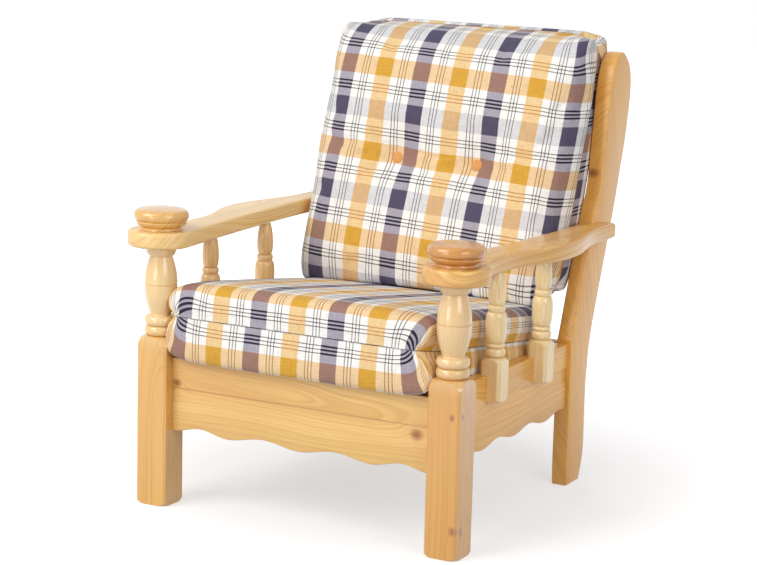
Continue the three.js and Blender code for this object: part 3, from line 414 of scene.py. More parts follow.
turned_length = arm_underside - square_height
corner_radius = post_width * math.sqrt(0.5)
shoulder_high = square_height + 0.18 * turned_length
bead_high = shoulder_high + 0.092 * turned_length
waist = bead_high + 0.092 * turned_length
groove_height = square_height + 0.645 * turned_length
neck_height = square_height + 0.908 * turned_length
post_profile = [(0, 0), (39, 0)] + bezier(6, (39, 0), (corner_radius, 7.5), (post_width, 30))
post_profile += [(post_width, square_height - 15), (corner_radius, square_height)]
post_profile += bezier(14, (corner_radius, square_height), (corner_radius, shoulder_high), (25, shoulder_high))
post_profile = bead(post_profile, shoulder_high, bead_high, 29.5)
post_profile = bead(post_profile, bead_high, waist, 29.5)
post_profile += [(21.6, waist), (21, waist + 0.8), (21, waist + 3)]
post_profile += bezier(12, (21, waist + 3), (32.7, (waist + groove_height) / 2), (32.7, groove_height))
post_profile += [(32.0, groove_height + 0.5), (30.9, groove_height + 0.9), (30.9, groove_height + 2.1),
                 (32.0, groove_height + 2.5), (32.7, groove_height + 3)]
post_profile += bezier(12, (32.7, groove_height + 3), (32.7, (groove_height + neck_height) / 2), (22, neck_height))
post_profile += bezier(10, (22, neck_height), (30, neck_height), (30, arm_underside))
post_profile += [(30, arm_underside + 0.4), (0, arm_underside + 0.4)]

post_knots = {
    -1: [],
    1: [((340, post_y - 34, 274), 4, (1, 0.4, 0.6)), ((356, post_y - 22, 275), 4, (0.4, 1, 0.6)),
        ((347, post_y - 34, 58), 5, (1, 0.4, 0.6)), ((356, post_y - 16, 54), 5, (0.4, 1, 0.5)),
        ((346, post_y - 30, 443), 2.5, (1, 1, 1))],
}
for side, word in sides:
    post = shaped(turned(f"front_post_{word}_turned", post_profile, 96), (
        "INTERSECT", prism(chamfered_square(post_width, post_chamfer), -10, arm_underside + 50)))
    post.data.transform(Matrix.Translation((side * post_half_spacing * mm, post_y * mm, 0)))
    # The turned part above the square gets the painted highlight
    post_pine = pine(f"turned_lacquered_pine_{word}_post", (side * post_half_spacing, post_y, 280), (0, 0, 40 * side),
                     (58, 40 + 12 * side, 0), early=("#e4b159", "#d9a24a")[side > 0],
                     late=("#c28036", "#b37029")[side > 0], gloss=0.3, coat=1.0, knots=post_knots[side],
                     painted_highlight_above=square_height + 10)
    fitted(post, post_pine, [f"front_post_{word}"])

# ## Arms
# Pine, 32 mm thick, sawn to a round paddle over the front post, a waist, a swell, and a straight end
# that is lapped round the rear post. All edges are rounded over. Each falls a little to the back.

arm_height = 552
arm_thickness = 32
arm_high = Vector(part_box("arm_right")[1])
arm_length = arm_high.y / mm - post_y
arm_slope = math.atan2(10, arm_length)


def tilt(angle, y, z):
    """Turns down towards the back about a line across the chair."""
    pivot = Matrix.Translation((0, y * mm, z * mm))
    return pivot @ Matrix.Rotation(-angle, 4, "X") @ pivot.inverted()


def arm_outline():
    """(x, y) points round the right arm, y from the front post's middle."""
    inner_x, outer_x = post_half_spacing - 19, post_half_spacing + 37
    centre_x, paddle = post_half_spacing + 2, 64
    waist_x, waist_y = post_half_spacing + 28, 0.25 * arm_length
    swell_x, swell_y = post_half_spacing + 69, 0.56 * arm_length
    end_y, reach = 0.9 * arm_length, 0.14 * arm_length
    inner_turn, outer_turn = math.radians(173), math.radians(40)
    joint = (centre_x + paddle * math.cos(inner_turn), paddle * math.sin(inner_turn))
    inner_reach = 0.25 * arm_length
    handle = (joint[0] + inner_reach * math.sin(inner_turn), joint[1] - inner_reach * math.cos(inner_turn))
    straight = (inner_x, 0.885 * arm_length)
    points = [(outer_x, arm_length), (inner_x, arm_length), straight]
    points += bezier(20, straight, (inner_x, straight[1] - inner_reach), handle, joint)
    steps = 48
    sweep = outer_turn + 2 * math.pi - inner_turn
    for step in range(1, steps + 1):
        turn = inner_turn + sweep * step / steps
        points.append((centre_x + paddle * math.cos(turn), paddle * math.sin(turn)))
    leave = points[-1]
    along = (-math.sin(outer_turn) * reach / 2, math.cos(outer_turn) * reach / 2)
    points += bezier(12, leave, (leave[0] + along[0], leave[1] + along[1]), (waist_x, waist_y - reach / 2),
                     (waist_x, waist_y))
    for (x, y), (next_x, next_y) in (((waist_x, waist_y), (swell_x, swell_y)), ((swell_x, swell_y), (outer_x, end_y))):
        points += bezier(14, (x, y), (x, y + reach), (next_x, next_y - reach), (next_x, next_y))
    return points


def round_over(bm, radius, segments, across):
    """Rounds the edges of both faces of a board; across says which way its thickness runs."""
    values = [v.co[across] for v in bm.verts]
    rims = [e for e in bm.edges for face in (min(values), max(values))
            if all(abs(v.co[across] - face) < 1e-6 for v in e.verts)]
    bmesh.ops.bevel(bm, geom=rims, offset=radius * mm, segments=segments, profile=0.5, affect="EDGES",
                    clamp_overlap=True)
    return bm


for side, word in sides:
    outline = [(side * x, y + post_y) for x, y in arm_outline()]
    board = round_over(prism(outline[::side], arm_underside, arm_height), 7, 5, 2)
    arm = object_of(f"arm_{word}_shaped", board)
    arm.data.transform(tilt(arm_slope, post_y, arm_height))
    arm_pine = pine(f"lacquered_pine_{word}_arm", (side * 340, post_y + 300, 536), (90, 0, 0), (20 * side, -52, 0),
                    early=("#f6d692", "#edbf70")[side > 0], late=("#d8a35c", "#bb7635")[side > 0], rings=0.0046,
                    contrast=0.7)
    fitted(arm, arm_pine, [f"arm_{word}"])

# ## Post caps
# Turned pine knobs, lacquered, one glued on each arm over the end of the post's tenon: a ring, a
# flare out to a step, and a thick dome.

cap_profile = [(0, 0), (40.4, 0), (41, 0.6), (41, 4.6), (40.4, 5.6), (39.5, 6.5)]
cap_profile += bezier(10, (39.5, 6.5), (49.5, 8.8), (51, 17)) + [(50.8, 17.6), (50, 18.2), (49.5, 19)]
cap_profile += bezier(18, (49.5, 19), (57, 22), (57, 41), (40, 41)) + bezier(8, (40, 41), (27, 44), (0, 44))

for side, word in sides:
    cap = turned(f"post_cap_{word}_turned", cap_profile, 96)
    place = Matrix.Translation((side * post_half_spacing * mm, post_y * mm, (arm_height + 0.3) * mm))
    cap.data.transform(tilt(arm_slope, post_y, arm_height) @ place)
    cap_pine = pine(f"turned_lacquered_pine_{word}_cap", (side * post_half_spacing, post_y, 570), (90, 0, 12 * side),
                    (30 * side, -46, 0), early=("#edc06c", "#d2923c")[side > 0], late=("#bf7e36", "#a2591c")[side > 0],
                    rings=0.0044, contrast=0.75, gloss=0.28, coat=0.8)
    fitted(cap, cap_pine, [f"post_cap_{word}"])

# ## Rails round the seat
# Pine boards 26 mm thick. A moulding runs along each: a sharp ledge over a hollow that runs out into
# the lower edge, which is sawn to shallow scallops. The side rails fall a little to the back.

rail_thickness = 26
seat_height = 301
seat_slope = math.radians(7.5)
rear_post_front = 546
lobe_height = 11
row_spacing = 4


def rail_section(height, ledge_drop, top_fall, rise):
    """(depth, height) points round a rail: depth from its show face, height above its lobes' tips."""
    ledge = height - ledge_drop
    low = ledge - 38
    points = [(rail_thickness, rise), (3, rise), (0.9, rise + 0.9), (0, rise + 3)]
    points += [(0, low - 12)] + bezier(12, (0, low - 12), (0, low + 10), (3, low + 4), (3, ledge - 2))
    points += [(3.4, ledge - 0.8), (2.8, ledge), (0.6, ledge), (0.1, ledge + 0.3), (0, ledge + 0.8)]
    points += [(0, height - 3)] + bezier(4, (0, height - 3), (0, height), (3, height - top_fall * 3 / rail_thickness))
    return points + [(rail_thickness, height - top_fall)]


def rail(name, start, end, height, ledge_drop, top_fall, lobes):
    """A moulded rail along +X from start to end, its show face towards -Y and its lobes' tips at z = 0."""
    count = round((end - start) / row_spacing)
    bm = bmesh.new()
    rows = []
    for i in range(count + 1):
        along = start + (end - start) * i / count
        rise = 0
        for a, b in zip(lobes, lobes[1:]):
            if a <= along <= b:
                rise = lobe_height * math.sin(math.pi * (along - a) / (b - a)) ** 2
        rows.append([bm.verts.new((along * mm, d * mm, h * mm))
                     for d, h in rail_section(height, ledge_drop, top_fall, rise)])
    for a, b in zip(rows, rows[1:]):
        for i in range(len(a)):
            j = (i + 1) % len(a)
            bm.faces.new([a[i], b[i], b[j], a[j]])
    bm.faces.new(rows[0])
    bm.faces.new(rows[-1][::-1])
    bmesh.ops.recalc_face_normals(bm, faces=bm.faces)
    return object_of(name, bm)


front_rail_height = 149
front_rail_end = post_half_spacing - post_width / 2 - 0.3
front_face_y = post_y - post_width / 2 + 25
front_rail = rail("front_rail_moulded", -front_rail_end, front_rail_end, front_rail_height, 59,
                  rail_thickness * math.tan(seat_slope), [-front_rail_end, -160, 0, 160, front_rail_end])
front_rail.data.transform(Matrix.Translation((0, front_face_y * mm, (seat_height - front_rail_height) * mm)))
front_rail_pine = pine("moulded_lacquered_pine_front_rail", (0, front_face_y, 226), (0, -90, 0), (-34, 62, 0),
                       early="#ebc277", late="#ca8f47", rings=0.0052, knots=[
                           ((-277, front_face_y, 251), 8, (1, 0.3, 0.8)),
                           ((254, front_face_y + 4, 224), 10, (1, 0.3, 0.8)),
                       ])
fitted(front_rail, front_rail_pine, ["front_rail"])

side_rail_height = 146
side_rail_start = post_width / 2 + 0.3
side_rail_length = rear_post_front - side_rail_start
side_rail_slope = math.atan2(13, side_rail_length)
side_rail_top = 315
side_rail_face = post_half_spacing - 6
side_middle = (side_rail_start + rear_post_front) / 2
lobe_length = 145

for side, word in sides:
    lobes = [side_middle + 10 + lobe_length * i for i in range(-2, 3)]
    board = rail(f"side_rail_{word}_moulded", side_rail_start + 0.2, rear_post_front - 0.2, side_rail_height, 51, 0,
                 lobes)
    # From along +X with the face to -Y, to along +Y with the face outwards
    turn = Matrix(((0, -side, 0, side * side_rail_face * mm), (1, 0, 0, post_y * mm),
                   (0, 0, 1, (side_rail_top - side_rail_height) * mm), (0, 0, 0, 1)))
    board.data.transform(tilt(side_rail_slope, post_y + side_rail_start, side_rail_top) @ turn)
    if side < 0:
        board.data.flip_normals()
    # Deeper, more saturated orange than the front rail: partly painted shade, the tone that side faces take in shade
    side_pine = pine(f"moulded_lacquered_pine_{word}_side_rail", (side * 303, post_y + 290, 236), (90, 0, 0),
                     (-60 * side, -30, 0), early="#f1b958", late="#ce8836", rings=0.0048, contrast=0.65)
    fitted(board, side_pine, [f"side_rail_{word}"])

# ## Rear posts
# Sawn from a 34 mm pine board to a curve, upright to the seat and then raked back, with a rounded
# top and all edges rounded over.

rear_inner_x = 290
rear_thickness = 34
rear_sweep = 260
rear_height = 886
rear_shares = [
    (0.01, 0), (-0.002, 0.06), (0, 0.2), (0, 0.335), (0.045, 0.38), (0.355, 0.625), (0.44, 0.675), (0.49, 0.73),
    (0.545, 0.86), (0.585, 0.93), (0.66, 0.98), (0.8, 1), (0.93, 0.975), (0.985, 0.94), (0.99, 0.89), (0.93, 0.8),
    (0.845, 0.72), (0.72, 0.61), (0.4, 0.365), (0.335, 0.27), (0.318, 0.2), (0.325, 0.09), (0.305, 0.045), (0.25, 0),
]


def spline(points, steps):
    """A smooth curve through the points."""
    curve = [points[0]]
    last = len(points) - 1
    for i in range(last):
        p0, p1 = points[max(i - 1, 0)], points[i]
        p2, p3 = points[i + 1], points[min(i + 2, last)]
        for step in range(1, steps + 1):
            t = step / steps
            curve.append(tuple(
                0.5 * (2 * b + (c - a) * t + (2 * a - 5 * b + 4 * c - d) * t * t + (3 * b - a - 3 * c + d) * t ** 3)
                for a, b, c, d in zip(p0, p1, p2, p3)))
    return curve


rear_outline = spline([(post_y + rear_post_front + a * rear_sweep, b * rear_height) for a, b in rear_shares], 8)
for side, word in sides:
    inner, outer = side * rear_inner_x, side * (rear_inner_x + rear_thickness)
    bm = prism(rear_outline, min(inner, outer), max(inner, outer))
    # The prism stands on its outline: turn its x, y and z to the chair's y, z and x
    bmesh.ops.transform(bm, matrix=Matrix(((0, 0, 1, 0), (1, 0, 0, 0), (0, 1, 0, 0), (0, 0, 0, 1))), verts=bm.verts)
    post = object_of(f"rear_post_{word}_sawn", round_over(bm, 4, 4, 0))
    # Deeper, more saturated orange than the front pieces: partly painted shade, the tone that side faces take in shade
    rear_pine = pine(f"lacquered_pine_{word}_rear_post", (side * 307, post_y + 640, 440), (-12, 0, 0),
                     (44 * side, -18, 0), early="#f2b858", late="#cd873a", rings=0.005, contrast=0.55,
                     knots=[((side * 300, post_y + 672, 640), 9, (0.6, 0.5, 1.0))])
    fitted(post, rear_pine, [f"rear_post_{word}"])

# ## Arm spindles
# Turned from paler 44 mm pine, two a side. Each square block is notched to sit on the side rail and
# hang over its face; the turning above it is tenoned into the arm.

spindle_places = (181, 395)
block_width = 44
block_hang = 50
block_height = 72
spindle_turned = arm_underside - side_rail_top + block_hang - block_height


# Heights up the turning: below and above each bead, round the belly and round the top
share_of = [block_height + share * spindle_turned
            for share in (0.077, 0.175, 0.224, 0.42, 0.557, 0.628, 0.64, 0.76, 0.9, 1.0, 1.06)]
neck, low_bead, belly_start, belly, belly_end, high_bead, swell, widest, taper, arm_joint, tenon = share_of
block_radius = block_width * math.sqrt(0.5)
spindle_profile = [(0, 0), (block_width / 2, 0), (block_radius, 5), (block_radius, block_height)]
spindle_profile += bezier(8, (block_radius, block_height), (22, neck), (14, neck))
spindle_profile = bead(bead(spindle_profile, neck, low_bead, 18), low_bead, belly_start, 17)
spindle_profile += bezier(10, (14, belly_start), (21, belly_start), (21, belly))
spindle_profile += bezier(10, (21, belly), (21, belly_end), (14, belly_end))
spindle_profile = bead(spindle_profile, belly_end, high_bead, 16) + [(12.5, high_bead)]
spindle_profile += bezier(10, (12.5, high_bead), (17, swell), (17, widest))
spindle_profile += bezier(10, (17, widest), (17, taper), (10.4, arm_joint)) + [(9.8, tenon)]


def rail_top(y):
    """Height of the side rails' top, y behind the front post's middle."""
    return side_rail_top - (y - side_rail_start) * math.tan(side_rail_slope)


def arm_low_at(y):
    """Height of the arms' underside, y behind the front post's middle."""
    return arm_height - arm_thickness / math.cos(arm_slope) - y * math.tan(arm_slope)


def on_points(tree, points, pattern, step, **inputs):
    """Copies of a pattern on points, each cut from the wood a step, in metres, past the one before."""
    pattern = add(tree, "GeometryNodeStoreNamedAttribute", {
        "Geometry": pattern, "Name": "grain", "Value": add(tree, "GeometryNodeInputPosition").outputs[0]},
        data_type="FLOAT_VECTOR").outputs[0]
    placed = add(tree, "GeometryNodeInstanceOnPoints", {"Points": points, "Instance": pattern, **inputs}).outputs[0]
    placed = add(tree, "GeometryNodeStoreNamedAttribute", {
        "Geometry": placed, "Name": "number", "Value": add(tree, "GeometryNodeInputIndex").outputs[0]},
        data_type="FLOAT", domain="INSTANCE").outputs[0]
    placed = add(tree, "GeometryNodeRealizeInstances", {"Geometry": placed}).outputs[0]
    shift = add(tree, "GeometryNodeInputNamedAttribute", {"Name": "number"}, data_type="FLOAT").outputs[0]
    shift = add(tree, "ShaderNodeVectorMath", {0: shift, 1: step}, operation="MULTIPLY").outputs[0]
    grain = add(tree, "GeometryNodeInputNamedAttribute", {"Name": "grain"}, data_type="FLOAT_VECTOR").outputs[0]
    grain = add(tree, "ShaderNodeVectorMath", {0: grain, 1: shift}, operation="ADD").outputs[0]
    return add(tree, "GeometryNodeStoreNamedAttribute", {
        "Geometry": placed, "Name": "grain", "Value": grain}, data_type="FLOAT_VECTOR").outputs[0]


# Copies of one made piece in their places, each with its own turn and its own stretch of the grain
copies, given = tree_with("set_out_in_places", ("Piece", "Object"))
pattern = add(copies, "GeometryNodeObjectInfo", {"Object": given["Piece"]}).outputs["Geometry"]
turn = add(copies, "GeometryNodeInputNamedAttribute", {"Name": "turn"}, data_type="FLOAT_VECTOR").outputs[0]
finished(copies, on_points(copies, given["Geometry"], pattern, (0.004, 0.003, 0.45), Rotation=turn), given["Material"])


def set_out(name, pattern, places, material):
    """Copies of a pattern piece at (place in mm, turn) pairs."""
    mesh = bpy.data.meshes.new(name)
    mesh.from_pydata([Vector(place) * mm for place, _ in places], [], [])
    mesh.attributes.new("turn", "FLOAT_VECTOR", "POINT").data.foreach_set("vector", [a for _, t in places for a in t])
    return grown(name, copies, mesh, Piece=pattern, Material=material)


spindle_feet = [rail_top(y) - block_hang for y in spindle_places]
spindle_length = max(arm_low_at(y) - foot for y, foot in zip(spindle_places, spindle_feet)) + 2
profile = [point for point in spindle_profile if point[1] < spindle_length]
profile += [(profile[-1][0], spindle_length), (0, spindle_length)]
edge = side_rail_face + 0.3 - post_half_spacing
spindle = shaped(
    turned("spindle", profile, 64), ("INTERSECT", prism(chamfered_square(block_width, 6), -10, 400)),
    ("DIFFERENCE", prism([(-block_width, -40), (edge, -40), (edge, 40), (-block_width, 40)], -20, block_hang)))
for side, word in sides:
    # The left pair's darker, more orange colours than the right pair's are painted shade, for the shadow they stand in
    spindle_pine = pine(f"turned_pine_{word}_spindles", (0, 0, 130), (0, 0, 70 * side), (30, 18, 0), rings=0.0036,
                        early=("#efc98c", "#fae4b0")[side > 0], late=("#c98f50", "#e4bb78")[side > 0], gloss=0.3,
                        coat=0.6, own_grain=True)
    places = [((side * post_half_spacing, post_y + y, foot), (0, 0, math.pi * (side < 0)))
              for y, foot in zip(spindle_places, spindle_feet)]
    spindles = set_out(f"arm_spindles_{word}_turned", spindle, places, spindle_pine)
    fitted(spindles, spindle_pine, [f"spindle_{word}_{n}" for n in (1, 2)])
bpy.data.objects.remove(spindle)

# ## Back frame and seat frame
# Plain pieces behind and under the cushions: lacquered rails with slats let into them at the back, and
# bare planed slats housed in two battens under the seat.

back_pine = pine("lacquered_pine_back_frame", (0, post_y + 700, 640), (0, -90, 0), (18, 44, 0), rings=0.005)
back_slat_pine = pine("lacquered_pine_back_slats", (0, 0, 0), (0, -90, 0), (30, 30, 0), rings=0.0044, own_grain=True)
# Bare wood: paler, greyer and matt, without the lacquer's honey tint
bare_pine = pine("planed_bare_pine_seat_slats", (0, 0, 0), (0, -90, 0), (-30, 50, 0), early="#ecd3a6",
                 late="#d3a974", rings=0.0048, gloss=0.62, coat=0.0, own_grain=True)
batten_pine = pine("planed_bare_pine_battens", (0, post_y + 280, 240), (90, 0, 0), (24, 40, 0), early="#ead0a2",
                   late="#cfa36c", rings=0.004, gloss=0.62, coat=0.0)
finishes = {"seat_batten_left": batten_pine, "seat_batten_right": batten_pine, "upper_back_rail": back_pine,
            "lower_back_rail": back_pine, "rear_seat_rail": back_pine}
for name, material in finishes.items():
    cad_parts[name].material_slots[0].material = material

# Boards along X, side by side along Y, from a rounded outline run along their length
slats, given = tree_with("planed_slats", ("Count", "Int"), ("Pitch", "Float"), ("Length", "Float"),
                         ("Width", "Float"), ("Thickness", "Float"), ("Rounding", "Float"))
outline = add(slats, "GeometryNodeCurvePrimitiveQuadrilateral", {
    "Width": given["Width"], "Height": given["Thickness"]}).outputs[0]
outline = add(slats, "GeometryNodeFilletCurve", {
    "Curve": outline, "Count": 4, "Radius": given["Rounding"]}, mode="POLY")
half = add(slats, "ShaderNodeMath", {0: given["Length"], 1: 0.5}, operation="MULTIPLY").outputs[0]
other = add(slats, "ShaderNodeMath", {0: given["Length"], 1: -0.5}, operation="MULTIPLY").outputs[0]
run = add(slats, "GeometryNodeCurvePrimitiveLine", {
    "Start": add(slats, "ShaderNodeCombineXYZ", {"X": other}).outputs[0],
    "End": add(slats, "ShaderNodeCombineXYZ", {"X": half}).outputs[0]}).outputs[0]
board = add(slats, "GeometryNodeCurveToMesh", {
    "Curve": run, "Profile Curve": outline.outputs[0], "Fill Caps": True}).outputs[0]
pitch = add(slats, "ShaderNodeCombineXYZ", {"Y": given["Pitch"]}).outputs[0]
line = add(slats, "GeometryNodeMeshLine", {"Count": given["Count"], "Offset": pitch}).outputs[0]
finished(slats, on_points(slats, line, board, (0.9, 0.006, 0.004)), given["Material"])


def middle_of(node):
    """The middle of a solid's box, in metres."""
    low, high = (Vector(corner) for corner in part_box(node))
    return (low + high) / 2


back_rake = math.radians(18.3)
edge_rounding = 2
# From along X and side by side along Y, to upright and side by side along X
upright = Matrix(((0, 1, 0, 0), (0, 0, 1, 0), (1, 0, 0, 0), (0, 0, 0, 1)))
for kind, count, sizes, lie, material, slot in (
        ("seat", 6, (576, 60, 16), Matrix.Rotation(-seat_slope, 4, "X"), bare_pine, "unfinished_pine"),
        ("back", 5, (327, 52, 14), Matrix.Rotation(-back_rake, 4, "X") @ upright, back_slat_pine, "lacquered_pine")):
    nodes = [f"{kind}_slat_{n}" for n in range(1, count + 1)]
    first, last = middle_of(nodes[0]), middle_of(nodes[-1])
    length, width, thickness = (size * mm for size in sizes)
    set_of_slats = grown(f"{kind}_slats_planed", slats, bpy.data.meshes.new(f"{kind}_slats"), Count=count,
                         Pitch=(last - first).length / (count - 1), Length=length, Width=width, Thickness=thickness,
                         Rounding=edge_rounding * mm, Material=material)
    set_of_slats.data.transform(Matrix.Translation(first) @ lie)
    fitted(set_of_slats, material, nodes)

# ## Screws
# Zinc plated countersunk wood screws with a cross recess, driven from inside through the battens,
# through the side rails into the spindles' blocks, and through the rear posts into the arms.

# Plating: a dull silver with a faint yellow cast, mottled finely where it has tarnished
zinc, tree = material_tree("zinc_plated_steel_screws")
place = add(tree, "ShaderNodeTexCoord").outputs["Object"]
wear = add(tree, "ShaderNodeTexNoise", {"Vector": place, "Scale": 900.0, "Detail": 2.0}).outputs["Fac"]
zinc_colour = add(tree, "ShaderNodeMix", {
    "Factor": wear, "A": linear("#c9c6b8"), "B": linear("#aeb0aa")}, data_type="RGBA").outputs["Result"]
shader = add(tree, "ShaderNodeBsdfPrincipled", {"Base Color": zinc_colour, "Metallic": 1.0, "Roughness": 0.34})
add(tree, "ShaderNodeOutputMaterial", {"Surface": shader.outputs[0]})

head_radius, shank_radius, thread_pitch = 5, 2.5, 1.8
core_radius = shank_radius * 0.72
recess_reach, recess_half, recess_depth = 2.6, 0.5, 1.8
for use, count in (("batten", 2), ("spindle", 2), ("arm", 0)):
    nodes = [f"{use}_screw_{word}" + (f"_{n}" if n else "") for side, word in sides
             for n in (range(1, count + 1) if count else (0,))]
    places = []
    for node in nodes:
        low, high = (Vector(corner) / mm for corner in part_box(node))
        side = 1 if low.x > 0 else -1
        places.append(((low.x if side > 0 else high.x, (low.y + high.y) / 2, (low.z + high.z) / 2),
                       (0, -side * math.pi / 2, 0)))
    length = high.x - low.x
    profile = [(0, -length), (0.6, 1.5 - length)]
    for ridge in range(round((length - 8) / thread_pitch)):
        at = 2 - length + ridge * thread_pitch
        profile += [(core_radius, at), (shank_radius, at + 0.5 * thread_pitch), (core_radius, at + 0.7 * thread_pitch)]
    profile += [(shank_radius, -3.2), (head_radius - 0.2, -0.4), (head_radius, -0.2), (head_radius - 0.1, 0), (0, 0)]
    slots = [prism([(-x, -y), (x, -y), (x, y), (-x, y)], -recess_depth, 1)
             for x, y in ((recess_reach, recess_half), (recess_half, recess_reach))]
    screw = shaped(turned("screw", profile, 24), *(("DIFFERENCE", slot) for slot in slots))
    fitted(set_out(f"{use}_screws", screw, places, zinc), zinc, nodes)
    bpy.data.objects.remove(screw)

# ## Checked cloth
# Cotton in a plain weave. Navy and yellow warp bands alternate, and grey and orange weft bands; every
# white space between two bands has three thin dark threads. Where bands cross, their colours mix.

warp_repeat = 178
weft_repeat = 175
band_width = 38
thread_spacing = 7.3


def check_cloth(name):
    """Woven cotton check on the cloth's own UV map: matt, soft edged bands, heathered where they mix."""
    material, tree = material_tree(name)

    def stripe(distance, half, soft=0.35):
        """1 nearer than half a width in mm, 0 beyond it, and a soft edge between."""
        return add(tree, "ShaderNodeMapRange", {
            "Value": distance, "From Min": (half + soft) * mm, "From Max": (half - soft) * mm}).outputs[0]

    def off_middle(value, repeat, middle):
        """Distance from the nearest of the lines a repeat apart, one of which is at the middle."""
        value = add(tree, "ShaderNodeMath", {0: value, 1: middle * mm}, operation="SUBTRACT").outputs[0]
        return add(tree, "ShaderNodeMath", {0: value, 1: repeat / 2 * mm}, operation="PINGPONG").outputs[0]

    place = add(tree, "ShaderNodeUVMap", uv_map="cloth").outputs[0]
    # The threads wander by about a millimetre
    wander = add(tree, "ShaderNodeTexNoise", {"Vector": place, "Scale": 14.0, "Detail": 3.0}).outputs["Color"]
    wander = add(tree, "ShaderNodeVectorMath", {0: wander, 1: (-0.5, -0.5, -0.5)}, operation="ADD").outputs[0]
    wander = add(tree, "ShaderNodeVectorMath", {0: wander, 1: (0.003, 0.003, 0)}, operation="MULTIPLY").outputs[0]
    woven = add(tree, "ShaderNodeVectorMath", {0: place, 1: wander}, operation="ADD").outputs[0]
    across, along = add(tree, "ShaderNodeSeparateXYZ", {0: woven}).outputs[:2]
    masks = {}
    for run, repeat, bands in ((across, warp_repeat, ("navy", "yellow")), (along, weft_repeat, ("grey", "orange"))):
        for half_repeats, band in enumerate(bands):
            masks[band] = stripe(off_middle(run, repeat, half_repeats * repeat / 2), band_width / 2)
    # Three threads in the middle of each white space, some thicker where they cross the navy
    for threads, run, repeat, half in (("warp", across, warp_repeat, 0.95), ("weft", along, weft_repeat, 0.95),
                                       ("thick_weft", along, weft_repeat, 1.9)):
        distance = off_middle(run, repeat / 2, repeat / 4)
        nearest = add(tree, "ShaderNodeMath", {0: distance, 1: thread_spacing / 2 * mm}, operation="PINGPONG")
        masks[threads] = add(tree, "ShaderNodeMath", {
            0: stripe(nearest.outputs[0], half), 1: stripe(distance, thread_spacing * 1.5, 0.1)},
            operation="MULTIPLY").outputs[0]
    # A heathered look where a coloured thread crosses a white one, drawn at 1.5 mm instead of 0.4
    heather = add(tree, "ShaderNodeTexNoise", {"Vector": place, "Scale": 650.0, "Detail": 1.0}).outputs["Fac"]
    masks["heather"] = add(tree, "ShaderNodeMapRange", {
        "Value": heather, "From Min": 0.3, "From Max": 0.7, "To Min": -0.3, "To Max": 0.3}).outputs[0]
    for mask, operation, a, b in (
            ("mottle", "ADD", "heather", 0.92), ("heathered_navy", "MULTIPLY", "navy", "mottle"),
            ("mottle", "ADD", "heather", 0.96), ("heathered_yellow", "MULTIPLY", "yellow", "mottle"),
            ("all_warp", "MULTIPLY", "warp", 0.85), ("thin_weft", "MULTIPLY", "weft", 0.85),
            ("weft_on_navy", "MULTIPLY", "thick_weft", "navy"), ("all_weft", "MAXIMUM", "thin_weft", "weft_on_navy"),
            ("crossings", "MULTIPLY", "warp", "weft")):
        masks[mask] = add(tree, "ShaderNodeMath", {0: masks[a], 1: masks.get(b, b)}, operation=operation).outputs[0]
    colours = {}
    for colour, mask, under, over in (
            ("navy_on_white", "heathered_navy", "#fbf8f4", "#a09aa9"),
            ("white_row", "heathered_yellow", "navy_on_white", "#eecb8e"),
            ("navy_on_grey", "navy", "#dedddf", "#565068"),
            ("grey_row", "heathered_yellow", "navy_on_grey", "#dbb078"),
            ("navy_on_orange", "heathered_navy", "#efd0a2", "#946c66"),
            ("orange_row", "yellow", "navy_on_orange", "#dba640"),
            ("pale_rows", "grey", "white_row", "grey_row"),
            ("bands", "orange", "pale_rows", "orange_row"),
            ("warp_thread", "orange", "#57534f", "#a0602f"),
            ("with_warp", "all_warp", "bands", "warp_thread"),
            ("weft_on_navy", "navy", "#57534f", "#2b2536"),
            ("weft_thread", "yellow", "weft_on_navy", "#c47a31"),
            ("with_weft", "all_weft", "with_warp", "weft_thread"),
            ("with_crossings", "crossings", "with_weft", "#2f2a30")):
        under, over = (linear(c) if c[0] == "#" else colours[c] for c in (under, over))
        colours[colour] = add(tree, "ShaderNodeMix", {
            "Factor": masks[mask], "A": under, "B": over}, data_type="RGBA").outputs["Result"]
    cloth = colours["with_crossings"]
    # Slubs: yarns thicker and darker for a few centimetres, both ways of the cloth
    for stretch in ((700, 40, 0), (40, 700, 0)):
        slub = add(tree, "ShaderNodeVectorMath", {0: place, 1: stretch}, operation="MULTIPLY").outputs[0]
        slub = add(tree, "ShaderNodeTexNoise", {"Vector": slub, "Scale": 1.0, "Detail": 2.0}).outputs["Fac"]
        slub = add(tree, "ShaderNodeMapRange", {
            "Value": slub, "From Min": 0.42, "From Max": 0.75, "To Min": 0.0, "To Max": 0.42}).outputs[0]
        cloth = add(tree, "ShaderNodeMix", {"Factor": slub, "A": cloth, "B": linear("#c9c4c1")}, data_type="RGBA",
                    blend_type="MULTIPLY").outputs["Result"]
    # A dark line along the seam, where the panels' edges turn in: painted shade in the seam's crease, with the dark
    # threads' ends showing in places
    seam_gap = add(tree, "ShaderNodeAttribute", attribute_name="seam_gap").outputs["Fac"]
    seam_shade_and_thread_ends = add(tree, "ShaderNodeTexNoise", {"Vector": place, "Scale": 55.0, "Detail": 1.0}).outputs["Fac"]
    seam_shade_and_thread_ends = add(tree, "ShaderNodeMapRange", {
        "Value": seam_shade_and_thread_ends, "From Min": 0.4, "From Max": 0.6, "To Min": 0.45, "To Max": 1.0}).outputs[0]
    seam_shade_and_thread_ends = add(tree, "ShaderNodeMath", {0: stripe(seam_gap, 1.1, 0.6), 1: seam_shade_and_thread_ends}, operation="MULTIPLY").outputs[0]
    cloth = add(tree, "ShaderNodeMix", {"Factor": seam_shade_and_thread_ends, "A": cloth, "B": linear("#3f3a44")}, data_type="RGBA")
